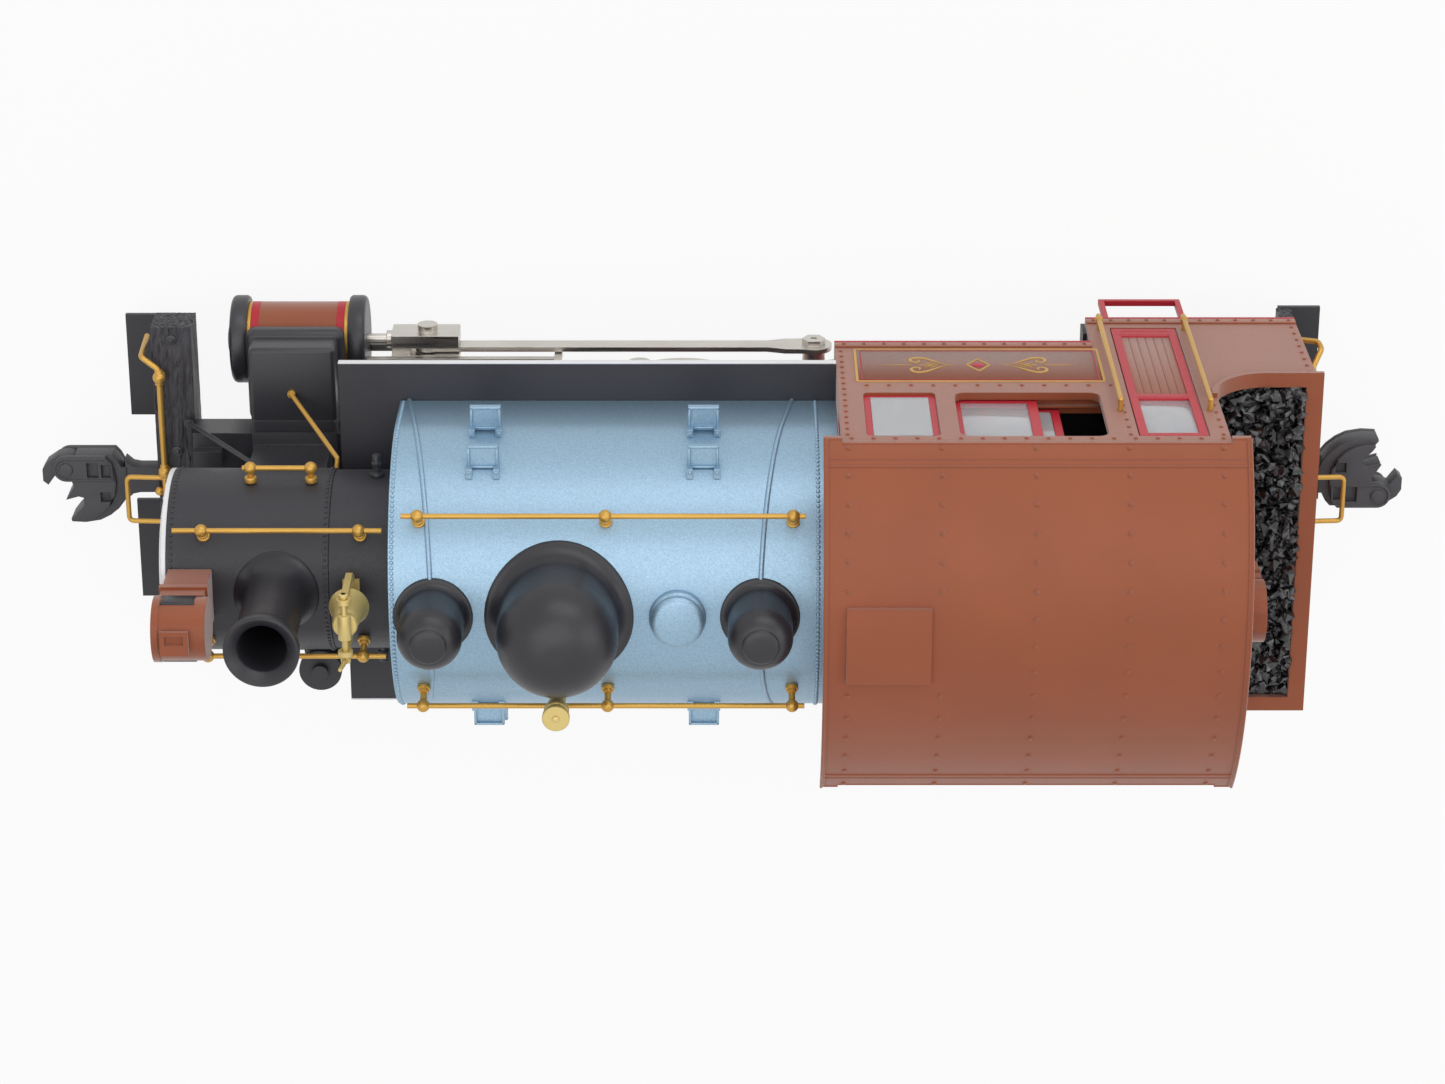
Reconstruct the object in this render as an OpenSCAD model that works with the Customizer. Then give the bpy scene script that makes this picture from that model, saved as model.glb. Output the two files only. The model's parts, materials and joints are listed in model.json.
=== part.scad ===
// Saddle tank locomotive for 45 mm garden railway track.
// Frame: X forward, Y to the engine's left, Z up, zero at the bottom of the wheel flanges.

/* [Wheels] */
// Tread diameter
tread_d = 37; // [34:0.5:40]
// Flange height over the tread
flange_h = 2; // [1:0.1:3]
// Width of a tyre
tyre_w = 6.4; // [5:0.1:8]
// Radial thickness of a tyre
tyre_t = 2.2; // [1.5:0.1:3]
// Distance between the backs of two wheels
back_to_back = 40; // [38:0.1:41]
// Axle diameter
axle_d = 4; // [3:0.1:5]
// Distance between axles
axle_pitch = 48.2; // [44:0.1:52]
// Spokes in a wheel
spokes = 10; // [8:1:14]

/* [Rods] */
// Crank throw
crank_throw = 12; // [8:0.1:13]
// Crank pin diameter
crank_pin_d = 4; // [3:0.1:5]
// Main rod length between centres
main_rod_len = 106.6; // [100:0.1:112]
// Main rod height
main_rod_h = 5.4; // [4:0.1:6.5]
// Main rod thickness
main_rod_t = 1.4; // [1:0.1:1.6]
// Side rod height
side_rod_h = 4.6; // [3.5:0.1:6]
// Side rod thickness
side_rod_t = 2; // [1.2:0.1:2.4]
// Running clearance on the radius of a pin
run_fit = 0.06; // [0.02:0.01:0.1]
// Gap left between pieces that rest on each other
seat = 0.05; // [0.02:0.01:0.1]

/* [Cylinders] */
// Distance of a cylinder axis from the middle of the engine
cyl_y = 38.5; // [37:0.1:41]
// Jacket diameter
jacket_d = 20.7; // [18:0.1:23]
// Cover diameter
cover_d = 24.2; // [21:0.1:27]
// Cover thickness
cover_t = 4.7; // [3.5:0.1:6]
// Distance between the two covers
jacket_len = 27.7; // [27.5:0.1:32]
// Front face of the front cover
cyl_front_x = 135; // [133:0.1:139]
// Distance from the front cover's face back to the wrist pin at the front of its stroke
wrist_lead = 53.6; // [53.1:0.1:56]
// Cylinder bore
bore_d = 15; // [12:0.1:17]
// Piston rod diameter
piston_rod_d = 3; // [2:0.1:4]
// Piston thickness
piston_t = 3; // [2:0.1:3.2]
// Crosshead length
crosshead_len = 18.5; // [16:0.1:20]
// Crosshead height
crosshead_h = 10; // [8:0.1:12]

/* [Frame] */
// Distance of a frame plate's outer face from the middle
frame_half = 16.5; // [15.5:0.1:17.5]
// Frame plate thickness
plate_t = 3; // [2:0.1:4]
// Underside of the frame plates
frame_bottom = 13; // [12:0.1:14]
// Top of the frame plates
frame_top = 40; // [38:0.1:42]
// Half width of the front deck
deck_half = 20; // [18.5:0.1:22]
// Top of the front deck
deck_top = 45; // [43:0.1:47]
// Depth of the front deck
deck_depth = 11; // [8:0.1:11]

/* [Boiler] */
// Height of the boiler axis
boiler_z = 85.3; // [83:0.1:88]
// Smokebox radius
smokebox_r = 24; // [22:0.1:25]
// Front face of the smokebox
smokebox_front_x = 144; // [142:0.1:147]
// Seam between smokebox and boiler barrel
seam_x = 102; // [95:0.1:103]
// Shell thickness
shell_t = 2; // [1.2:0.1:3]

/* [Saddle tank] */
// Tank radius and half width
tank_r = 38.3; // [36:0.1:40]
// Front of the tank
tank_front_x = 85.3; // [82:0.1:88]
// Tank wall
tank_t = 2.5; // [1.5:0.1:3.5]
// Top of the running boards
board_top = 68.5; // [66:0.1:70]
// Half width over the running boards
board_half = 48.9; // [47:0.1:51]
// Running board thickness
board_t = 2; // [1.2:0.1:3]

/* [Cab] */
// Front wall of the cab
cab_front_x = -30; // [-34:0.1:-27]
// Rear wall of the cab
cab_rear_x = -128; // [-132:0.1:-126.5]
// Rear wall of the bunker
bunker_rear_x = -156.1; // [-158.3:0.1:-155]
// Half width over the cab
cab_half = 47.6; // [46.5:0.1:49]
// Wall thickness
wall_t = 2; // [1.5:0.1:2.4]
// Lower edge of the cab side
cab_bottom = 48.9; // [46:0.1:50]
// Lower edge of the bunker side
skirt_bottom = 29.9; // [29.4:0.1:32]
// Top of the bunker
bunker_top = 76; // [72:0.1:82]
// Height of the eaves
eave_z = 122.9; // [122:0.1:125]
// Height of the roof ridge
ridge_z = 141.9; // [139:0.1:144]
// Roof thickness
roof_t = 1.6; // [1.2:0.1:2.4]
// Sill of the windows
sill_z = 87.4; // [84:0.1:90]
// Head of the windows and of the doors
head_z = 118.6; // [115:0.1:119]
// Sill of the doors
door_sill = 37.2; // [36.9:0.1:40]

/* [Ends] */
// Half length over the knuckles
half_len = 189; // [185:0.5:193]
// Front beam length along the engine
beam_t = 11; // [9:0.1:12]
// Rear face of the front beam
beam_x = 144.4; // [143:0.1:145]
// Half width of the front beam
beam_half = 48; // [45:0.1:50]
// Underside of the front beam
beam_bottom = 25.6; // [24:0.1:26]
// Top of the front beam
beam_top = 38; // [37:0.1:40]
// Top of the footboards
footboard_top = 12; // [10:0.1:14]
// Distance from the middle of the engine to a coupler pivot
coupler_pivot_x = 138; // [136.5:0.1:139]

/* [Fittings] */
// Place of the stack
stack_x = 115.5; // [112:0.1:120]
// Top of the stack
stack_top = 146; // [140:0.1:148]
// Place of the bell
bell_x = 96; // [94:0.1:97]
// Height of the bell pivot
bell_z = 130; // [128:0.1:132]
// Place of the front sand dome
front_dome_x = 74; // [72:0.1:75]
// Place of the rear sand dome
rear_dome_x = -9.6; // [-12:0.1:-8]
// Place of the steam dome
steam_dome_x = 41.8; // [40:0.1:44]
// Top of the steam dome
steam_dome_top = 150.2; // [147:0.1:152]
// Top of the sand domes
sand_dome_top = 143; // [142:0.1:147]
// Place of the filler cap
filler_x = 11.5; // [10:0.1:14]
// Handrail diameter
rail_d = 1.4; // [1:0.1:1.8]
// Handrail ball diameter
ball_d = 3.4; // [2.4:0.1:4]

/* [Hidden] */
$fn = 72;
axle_z = tread_d / 2 + flange_h;
axle_r = axle_d / 2;
pin_r = crank_pin_d / 2;
wrist_front = cyl_front_x - wrist_lead;
rear_axle_x = wrist_front - crank_throw - main_rod_len;
axle_x = [rear_axle_x, rear_axle_x + axle_pitch, rear_axle_x + 2 * axle_pitch];
tyre_in_r = tread_d / 2 - tyre_t;
wheel_face = back_to_back / 2 + tyre_w;
boss_face = wheel_face + 1.2;
side_rod_in = boss_face + 0.6;
side_rod_out = side_rod_in + side_rod_t;
main_rod_in = cyl_y - 2.85;
main_rod_out = main_rod_in + main_rod_t;
collar_out = main_rod_in - 0.3;
jacket_front = cyl_front_x - cover_t;
jacket_back = jacket_front - jacket_len;
cover_back = jacket_back - cover_t;
piston_mid = (jacket_front + jacket_back) / 2;
wrist_mid = wrist_front - crank_throw;
piston_reach = piston_mid - wrist_mid;
rod_lean = asin(crank_throw / main_rod_len);
left_wrist = rear_axle_x + sqrt(pow(main_rod_len, 2) - pow(crank_throw, 2));
outer_cheek = main_rod_in + main_rod_t + 0.35;
inner_cheek = main_rod_in - 0.35;
cheek_out = outer_cheek + 3.6;
cheek_in = inner_cheek - 2.3;
guide_gap = 0.3;
guide_t = 2;
guide_rear_x = wrist_front - 2 * crank_throw - 13.1;
deck_bottom = deck_top - deck_depth;
deck_rear_x = cover_back - 4.3;
saddle_x = [jacket_back + 2.2, jacket_front - 2.2];
barrel_r = smokebox_r - 0.4;
board_bottom = board_top - board_t;
tank_rear_x = cab_front_x + seat;
roof_rise = ridge_z - eave_z;
roof_half = cab_half + 0.9;
roof_r = (pow(roof_half, 2) + pow(roof_rise, 2)) / (2 * roof_rise);
roof_centre = ridge_z - roof_r;
roof_under = roof_r - roof_t;
roof_front_x = cab_front_x + 4.6;
roof_rear_x = cab_rear_x - 4.8;
cab_in = cab_half - wall_t;
cab_front_in = cab_front_x - wall_t;
cab_rear_in = cab_rear_x + wall_t;
floor_top = cab_bottom + 2;
well_top = door_sill - 1;
step_x = cab_rear_x + 29;
win_x = [cab_front_x - 25.1, cab_front_x - 6.4];
sash_x = [cab_front_x - 67.7, cab_front_x - 30];
fixed_pane_x = [sash_x[0] + 10.3, sash_x[0] + 30.9];
fixed_pane_y = cab_in - 4.2;
fixed_pane_z = [sill_z - 1.8 + seat, head_z + 1.3 - seat];
door_x = [cab_rear_x + 5, cab_rear_x + 23];
underframe_bottom = skirt_bottom - 2;
rear_beam_top = underframe_bottom - seat;
rear_beam_bottom = rear_beam_top - 10;
rear_beam_x = -beam_x - 8.4;
beam_front = beam_x + beam_t;
rear_beam_end = rear_beam_x - 4;
pocket_half = 10.5;
shank_bottom = 23.5;
shank_top = 29.5;
head_bottom = shank_bottom - 2;
head_top = shank_top + 2;
knuckle_x = half_len - 7;
knuckle_y = -3.9;
lever_posts = [-34.3, -6.6, 8.6, 34.3];
rim_w = 2.8;
rim_lip = 1.2;
rim_t = 1.4;
bunker_floor = bunker_top - 16;
swoop_r = 15;
worm_pitch_r = 3.2;
gear_teeth = 12;
gear_r = 6.3;
worm_z = axle_z + gear_r + worm_pitch_r + 0.15;
worm_lead = 2 * PI * gear_r / gear_teeth;
worm_turns = 5;
worm_x = axle_x[1];
motor_r = 9.6;
motor_x = [worm_x - 42.5, worm_x - 10.5];
screw_x = [axle_x[0] - 17.8, axle_x[2] + 16.8];
stack_bore = 6.2;
pump_x = seam_x + 5.4;
pump_y = smokebox_r + 7.4;
lamp_z = boiler_z + smokebox_r + 21.7;
lamp_len = 13.6;
lamp_x = smokebox_front_x - lamp_len;
lamp_r = 8.1;
rear_lamp_z = eave_z - 3.4;
rail_lean = 37;
tank_rail = [(tank_r + 5.75) * sin(rail_lean), boiler_z + (tank_r + 5.75) * cos(rail_lean)];
smoke_rail = [(smokebox_r + 5.4) * sin(rail_lean), boiler_z + (smokebox_r + 5.4) * cos(rail_lean)];
front_win_y = [cab_half - 7.5, cab_half - 3];
front_win_z = [sill_z + 5, head_z - 4];
rear_win_y = [cab_half / 3, cab_half * 0.75];
rear_win_z = [sill_z + 7, head_z - 4];
frame_step_x = step_x + 4;
tank_top = boiler_z + tank_r;
sand_base_r = 10.25;
black = [0.16, 0.16, 0.17];
brown = [0.55, 0.33, 0.24];
blue = [0.55, 0.69, 0.8];
red = [0.75, 0.15, 0.17];
gold = [0.78, 0.58, 0.2];
brass = [0.84, 0.73, 0.42];
nickel = [0.72, 0.69, 0.65];

// Helpers
module box(x0, x1, y0, y1, z0, z1)
    translate([min(x0, x1), min(y0, y1), min(z0, z1)])
        cube([abs(x1 - x0), abs(y1 - y0), abs(z1 - z0)]);
module xcyl(x0, x1, r, y = 0, z = 0)
    translate([x0, y, z]) rotate([0, 90, 0]) cylinder(h = x1 - x0, r = r);
module ycyl(y0, y1, r, x = 0, z = 0)
    translate([x, y1, z]) rotate([90, 0, 0]) cylinder(h = y1 - y0, r = r);
module zcyl(z0, z1, r, x = 0, y = 0)
    translate([x, y, z0]) cylinder(h = z1 - z0, r = r);
module along_x(x0, x1)
    translate([x0, 0, 0]) rotate([90, 0, 90]) linear_extrude(x1 - x0) children();
module along_y(y0, y1)
    translate([0, y1, 0]) rotate([90, 0, 0]) linear_extrude(y1 - y0) children();
module both() {
    children();
    mirror([0, 1, 0]) children();
}
module rod(a, b, r) {
    v = b - a;
    l = norm(v);
    translate(a) rotate([0, acos(v[2] / l), atan2(v[1], v[0])]) cylinder(h = l, r = r);
}
module rod_path(points, r) {
    for (i = [0 : len(points) - 2]) rod(points[i], points[i + 1], r);
    for (i = [1 : len(points) - 2]) translate(points[i]) sphere(r * 1.04);
}
module smokebox_core(gap) xcyl(cab_front_x, smokebox_front_x + 30, smokebox_r + gap, 0, boiler_z);
module tank_outline(grow) intersection() {
    union() {
        translate([0, boiler_z]) circle(tank_r + grow);
        translate([-tank_r - grow, board_top + seat])
            square([2 * (tank_r + grow), boiler_z - board_top - seat]);
    }
    translate([-2 * tank_r, board_top + seat]) square(4 * tank_r);
}
module tank_core(gap) along_x(tank_rear_x - 5, tank_front_x) tank_outline(gap);
module arc_band(x0, x1, outer, inner, half)
    along_x(x0, x1) intersection() {
        difference() {
            translate([0, roof_centre]) circle(outer);
            translate([0, roof_centre]) circle(inner);
        }
        translate([-half, roof_centre]) square([2 * half, 2 * roof_r]);
    }
module rounded(w, h, r) {
    translate([r, 0]) square([w - 2 * r, h]);
    translate([0, r]) square([w, h - 2 * r]);
    for (x = [r, w - r]) for (y = [r, h - r]) translate([x, y]) circle(r);
}

// Frame and ends
module main_frame() color(black) {
    difference() {
        union() {
            both() {
                box(rear_beam_x + seat, frame_step_x, frame_half - plate_t, frame_half,
                    frame_bottom, rear_beam_top);
                box(frame_step_x, cab_front_x, frame_half - plate_t, frame_half,
                    frame_bottom, cab_bottom - seat);
                box(cab_front_x, deck_rear_x, frame_half - plate_t, frame_half, frame_bottom, frame_top);
                box(deck_rear_x, jacket_front - 3.3, frame_half - plate_t, frame_half,
                    frame_bottom, deck_bottom + 1);
                box(jacket_front - 3.5, beam_x - seat, frame_half - plate_t, frame_half,
                    beam_bottom + 0.4, deck_bottom + 1);
                box(coupler_pivot_x - 5, coupler_pivot_x + 3, pocket_half - 2.5, pocket_half,
                    frame_bottom, deck_bottom + 1);
            }
            box(deck_rear_x, beam_x - seat, -deck_half, deck_half, deck_bottom, deck_top);
            both() box(beam_x - 8, beam_x - 0.4, deck_half - 9, deck_half - 4.3, deck_top - 3, deck_top + 3);
            for (x = screw_x) box(x - 4, x + 4, -frame_half, frame_half, frame_bottom, frame_bottom + 5);
            box(frame_step_x, frame_step_x + 4, -frame_half, frame_half, frame_bottom, frame_bottom + 17);
            for (x = [-coupler_pivot_x, coupler_pivot_x]) {
                pocket = x < 0 ? frame_half : pocket_half;
                box(x - 5, x + 5, -pocket, pocket, frame_bottom, shank_bottom - 1.5);
                zcyl(shank_bottom - 1.6, shank_top + 0.2, 2.2, x, 0);
            }
        }
        for (x = axle_x) ycyl(-frame_half - 1, frame_half + 1, axle_r + run_fit, x, axle_z);
        for (x = screw_x) zcyl(frame_bottom - 1, frame_bottom + 4.5, 1 + seat, x, 0);
        for (x = [-coupler_pivot_x, coupler_pivot_x])
            zcyl(shank_top - 3.6, shank_top + 1, 1 + seat, x, 0);
    }
}
module keeper_plate() color(black) difference() {
    box(screw_x[0] - 5, screw_x[1] + 5, -frame_half, frame_half, frame_bottom - 2, frame_bottom - seat);
    for (x = screw_x) {
        zcyl(frame_bottom - 4, frame_bottom, 1 + seat, x, 0);
        zcyl(frame_bottom - 4, frame_bottom - 0.8, 2.3, x, 0);
    }
}
module frame_screws() color(nickel) {
    for (x = screw_x) {
        zcyl(frame_bottom - 1.9, frame_bottom - 0.8 - seat, 2.2, x, 0);
        zcyl(frame_bottom - 1.2, frame_bottom + 4, 1, x, 0);
    }
    for (x = [-coupler_pivot_x, coupler_pivot_x]) {
        zcyl(shank_top + 0.25, shank_top + 1.6, 4, x, 0);
        zcyl(shank_top - 3.5, shank_top + 0.5, 1, x, 0);
    }
}
module buffer_beams() color(black) {
    difference() {
        box(beam_x, beam_front, -beam_half, beam_half, beam_bottom, beam_top);
        box(beam_x - 1, beam_front + 1, -10, 10, beam_bottom - 1, head_top + 1.5);
    }
    difference() {
        box(rear_beam_end, rear_beam_x, -cab_half + 1, cab_half - 1, rear_beam_bottom, rear_beam_top);
        box(rear_beam_end - 1, rear_beam_x + 1, -10, 10, shank_bottom - 2, rear_beam_top + 1);
    }
}
module footboard(outer, hang) {
    board_x = [9.9, 21.6];
    box(board_x[0], board_x[1], 12.9, outer, footboard_top - 1.5, footboard_top);
    for (y = [17, outer - 5]) {
        box(board_x[0] - 1.5, board_x[0] + 1, y - 1.2, y + 1.2, footboard_top - 1, hang);
        box(board_x[0] - 1.5, board_x[1] - 1.1, y - 0.6, y + 0.6, footboard_top - 3, footboard_top - 1);
    }
}
module footboards() color(black) {
    both() translate([beam_x, 0, 0]) footboard(42.6, beam_bottom - seat);
    both() mirror([1, 0, 0]) translate([beam_x, 0, 0]) footboard(44.8, rear_beam_bottom - seat);
}

// Cylinders and motion supports
module cylinder_saddle() color(black) difference() {
    union() {
        box(saddle_x[0] + 1.5, saddle_x[1] - 0.5, -deck_half + 3, deck_half - 3,
            deck_top + seat, boiler_z - 10);
        box(saddle_x[0], saddle_x[1], -deck_half - 4, deck_half + 4, deck_top + seat, deck_top + 1);
        both() {
            box(saddle_x[0], saddle_x[1], deck_half + seat, cyl_y + 6.2, deck_top - 9, deck_top + 1);
            translate([saddle_x[0] - 1.7, deck_half + seat, deck_top - 14]) linear_extrude(6)
                rounded(saddle_x[1] - saddle_x[0] + 3.4, cyl_y - deck_half + 8, 3);
            box(saddle_x[0] + 1.3, saddle_x[1] + 1, deck_half + seat, cyl_y, axle_z + 1.5, axle_z + 11.5);
        }
    }
    smokebox_core(seat);
    both() xcyl(jacket_back - 1, jacket_front + 1, jacket_d / 2 + seat, cyl_y, axle_z);
}
module cylinder_jackets() color(brown) both() difference() {
    xcyl(jacket_back + seat, jacket_front - seat, jacket_d / 2, cyl_y, axle_z);
    xcyl(jacket_back - 1, jacket_front + 1, bore_d / 2, cyl_y, axle_z);
}
module cylinder_covers() color(black) both() {
    xcyl(jacket_front, cyl_front_x, cover_d / 2, cyl_y, axle_z);
    xcyl(cyl_front_x - 1, cyl_front_x + 1.2, 4, cyl_y, axle_z);
    difference() {
        xcyl(cover_back, jacket_back, cover_d / 2, cyl_y, axle_z);
        xcyl(cover_back - 4, jacket_back + 1, piston_rod_d / 2 + run_fit, cyl_y, axle_z);
    }
}
module guide_bars() color(nickel) both() {
    bar_y = [cheek_in, inner_cheek - 0.05];
    rise = crosshead_h / 2 + guide_gap + guide_t;
    for (s = [-1, 1]) {
        z0 = axle_z + s * (crosshead_h / 2 + guide_gap);
        box(guide_rear_x + 2 + seat, cover_back - seat, bar_y[0], bar_y[1], z0, z0 + s * guide_t);
    }
    box(guide_rear_x, guide_rear_x + 2, bar_y[0], bar_y[1], axle_z - rise, board_bottom - seat);
}
module brake_gear() color(black) both() for (i = [1, 2]) {
    x = axle_x[i] - axle_pitch / 2;
    shoe_r = tread_d / 2 + 0.6;
    y0 = back_to_back / 2 + 2.6;
    difference() {
        along_y(y0, y0 + 3) intersection() {
            difference() {
                translate([axle_x[i], axle_z]) circle(shoe_r + 2.6);
                translate([axle_x[i], axle_z]) circle(shoe_r);
            }
            translate([x - 4, axle_z - 9]) square([12, 14]);
        }
    }
    box(x - 0.9, x + 2.6, y0 + 0.4, y0 + 2.4, axle_z - 12.5, axle_z + 10.5);
    ycyl(frame_half + seat, y0 + 2, 1.4, x + 0.8, axle_z + 9.5);
    ycyl(y0, y0 + 4.6, 1.9, x + 0.5, axle_z - 11.9);
}

// Drive inside
module motor() color(nickel) difference() {
    union() {
        xcyl(motor_x[0], motor_x[1], motor_r, 0, worm_z);
        xcyl(motor_x[1] - 1, motor_x[1] + 1.5, 3, 0, worm_z);
        box(motor_x[0] + 4, motor_x[0] + 7, -frame_half + plate_t + seat, frame_half - plate_t - seat,
            worm_z - 3, worm_z + 3);
    }
    xcyl(motor_x[0] + 2, motor_x[1] + 3, 1 + run_fit, 0, worm_z);
}
module worm_shaft() color(brass) {
    xcyl(motor_x[0] + 3, worm_x + 9, 1, 0, worm_z);
    translate([worm_x - worm_turns / 2 * worm_lead, 0, worm_z]) rotate([0, 90, 0])
        linear_extrude(height = worm_turns * worm_lead, twist = -360 * worm_turns, slices = 60, segments = 14)
            translate([0.75, 0]) circle(r = 2.75, $fn = 14);
}

// Boiler, smokebox and tank
module running_boards() color(black) both()
    box(tank_rear_x, seam_x - 0.5, frame_half + 0.4, board_half, board_bottom, board_top);
module smokebox() color(black) difference() {
    xcyl(seam_x, smokebox_front_x, smokebox_r, 0, boiler_z);
    xcyl(seam_x + shell_t, smokebox_front_x + 1, smokebox_r - shell_t, 0, boiler_z);
    zcyl(boiler_z + 5, stack_top, stack_bore, stack_x, 0);
}
module smokebox_front() color(nickel) {
    xcyl(smokebox_front_x + seat, smokebox_front_x + 1.3, smokebox_r, 0, boiler_z);
    xcyl(smokebox_front_x + 1, smokebox_front_x + 2.4, smokebox_r - 5, 0, boiler_z);
    xcyl(smokebox_front_x + 2, smokebox_front_x + 4, 2.4, 0, boiler_z);
    for (s = [-1, 1]) box(smokebox_front_x + 1, smokebox_front_x + 2.8, 4, smokebox_r - 3,
        boiler_z + s * 7 - 1, boiler_z + s * 7 + 1);
}
module stack() color(black) difference() {
    translate([stack_x, 0, 0]) rotate_extrude() polygon([[stack_bore, boiler_z + 16], [11.6, boiler_z + 16],
        [11.2, boiler_z + 23.6], [9.4, boiler_z + 25.4], [8, boiler_z + 28], [7.3, boiler_z + 32],
        [7.7, stack_top - 9], [7.7, stack_top - 5], [9, stack_top - 4], [9.55, stack_top - 3],
        [9.55, stack_top - 0.6], [9.1, stack_top], [7.8, stack_top], [stack_bore, stack_top - 2.4]]);
    smokebox_core(seat);
}
module lamp_case() {
    difference() {
        union() {
            xcyl(0, lamp_len - 0.4, lamp_r, 0, 0);
            xcyl(lamp_len - 1.8, lamp_len, lamp_r + 0.4, 0, 0);
            box(1.6, lamp_len - 0.8, -7, 7, -22, -5);
            box(1, lamp_len - 0.2, -7.8, 7.8, -10.4, -8.4);
            box(lamp_len - 9, lamp_len - 3, -2.5, 2.5, 5, 9);
            box(lamp_len - 9.6, lamp_len - 2.4, -3.2, 3.2, 8.6, 9.8);
        }
        xcyl(2, lamp_len + 1, lamp_r - 0.9, 0, 0);
        box(lamp_len - 8.4, lamp_len - 3.6, -2, 0.4, 9, 11);
    }
}
module headlight_housings() color(brown) {
    difference() {
        translate([lamp_x, 0, lamp_z]) lamp_case();
        smokebox_core(seat);
    }
    translate([cab_rear_x - seat, 0, rear_lamp_z]) mirror([1, 0, 0]) intersection() {
        lamp_case();
        box(0, 10.6, -9, 9, -16, lamp_r);
    }
}
module headlight_lamps() color([0.92, 0.93, 0.9]) {
    xcyl(lamp_x + lamp_len - 2.4, lamp_x + lamp_len - 1.2, lamp_r - 0.95, 0, lamp_z);
    xcyl(lamp_x + 2 + seat, lamp_x + 7, 2, 0, lamp_z);
    xcyl(cab_rear_x - 9.9, cab_rear_x - 8.7, lamp_r - 0.95, 0, rear_lamp_z);
    xcyl(cab_rear_x - 6, cab_rear_x - 2 - 2 * seat, 2, 0, rear_lamp_z);
}
module bell_stand() color(brass) difference() {
    union() {
        both() {
            along_x(bell_x - 0.9, bell_x + 0.9) polygon([[3, boiler_z + 20], [4.6, boiler_z + 22.6],
                [7.9, boiler_z + 28], [7.9, bell_z], [6.5, bell_z], [6.5, boiler_z + 29], [3, boiler_z + 26]]);
            ycyl(6.5, 7.9, 1.9, bell_x, bell_z);
        }
        box(bell_x - 2.2, bell_x + 2.2, -4.4, 4.4, boiler_z + 12, boiler_z + barrel_r + 1.6);
        box(bell_x - 0.9, bell_x + 0.9, -3.2, 3.2, boiler_z + 12, boiler_z + 26);
    }
    xcyl(bell_x - 9, bell_x + 9, smokebox_r + seat, 0, boiler_z);
    ycyl(-8.5, 8.5, 0.8 + run_fit, bell_x, bell_z);
}
module bell() color(brass) {
    ycyl(-9.2, 9.8, 0.8, bell_x, bell_z);
    for (y = [[-9.2, -8.2], [8.2, 9.8]]) ycyl(y[0], y[1], 1.3, bell_x, bell_z);
    ycyl(-3.4, 3.4, 1.7, bell_x, bell_z);
    box(bell_x - 0.8, bell_x + 0.8, 8.4, 9.6, bell_z, bell_z + 7);
    translate([bell_x, 0, bell_z]) rotate_extrude() polygon([[0, -0.7], [2.7, -0.7], [3.1, -1.4], [3.1, -2.4],
        [3.5, -3.4], [3.8, -7], [4.3, -10], [5.2, -12.4], [5.2, -13.2], [4.5, -13.2], [3.2, -8], [2.8, -4.4], [0, -4]]);
}
module boiler_barrel() color(black) difference() {
    union() {
        xcyl(tank_rear_x, seam_x - seat, barrel_r, 0, boiler_z);
        box(tank_rear_x, tank_front_x - 3.3, -frame_half, frame_half, frame_top + seat, boiler_z - 10);
    }
    xcyl(tank_rear_x + 2, seam_x - 2, barrel_r - shell_t, 0, boiler_z);
    box(tank_rear_x + 2, tank_front_x - 5.3, -frame_half + 3, frame_half - 3, frame_top - 1, boiler_z - 10);
}
module sand_rib(x, dome_x, lean) difference() {
    intersection() {
        along_x(tank_rear_x + 1, tank_front_x - 0.5) difference() {
            tank_outline(0.45);
            tank_outline(-1);
        }
        translate([x, 0, tank_top]) rotate([0, lean, 0])
            box(-0.5, 0.5, -tank_r - 2, tank_r + 2, -2 * tank_r, 5);
    }
    zcyl(boiler_z, tank_top + 5, sand_base_r + seat, dome_x);
}
module saddle_tank() color(blue) difference() {
    union() {
        along_x(tank_rear_x, tank_front_x) tank_outline(0);
        sand_rib(front_dome_x + 0.4, front_dome_x, -8.8);
        sand_rib(rear_dome_x, rear_dome_x, 9);
    }
    along_x(tank_rear_x - 1, tank_front_x - tank_t) intersection() {
        union() {
            translate([0, boiler_z]) circle(tank_r - tank_t);
            translate([-tank_r + tank_t, 0]) square([2 * (tank_r - tank_t), boiler_z]);
        }
        translate([-100, 0]) square(200);
    }
    xcyl(tank_front_x - 10, tank_front_x + 1, barrel_r + seat, 0, boiler_z);
    box(tank_front_x - 10, tank_front_x + 1, -frame_half - 3, frame_half + 3, board_top - 5, boiler_z - 12);
}
module dome(x, base_r, body_r, top, cap_r, flare, roundness) difference() {
    translate([x, 0, 0]) rotate_extrude() {
        z0 = boiler_z + tank_r;
        shoulder = body_r * roundness;
        translate([0, z0 - 9]) square([body_r, top - shoulder - z0 + 9]);
        translate([0, z0 - 9]) square([base_r, 9 + 0.8]);
        difference() {
            translate([0, z0]) square([body_r + flare, 0.8 + flare]);
            translate([body_r + flare, z0 + 0.8 + flare]) circle(flare);
        }
        translate([0, top - shoulder]) square([body_r - shoulder, shoulder]);
        intersection() {
            translate([body_r - shoulder, top - shoulder]) circle(shoulder);
            translate([0, top - shoulder]) square([body_r, shoulder]);
        }
        if (cap_r > 0) translate([0, top - 1]) square([cap_r, 1.4]);
    }
    tank_core(seat);
}
module domes() color(black) {
    dome(front_dome_x, sand_base_r, 8.3, sand_dome_top, 4.9, 1.8, 0.75);
    dome(rear_dome_x, sand_base_r, 8.3, sand_dome_top, 4.9, 1.8, 0.75);
    dome(steam_dome_x, 19.1, 15.5, steam_dome_top, 0, 3.4, 0.86);
}
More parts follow.
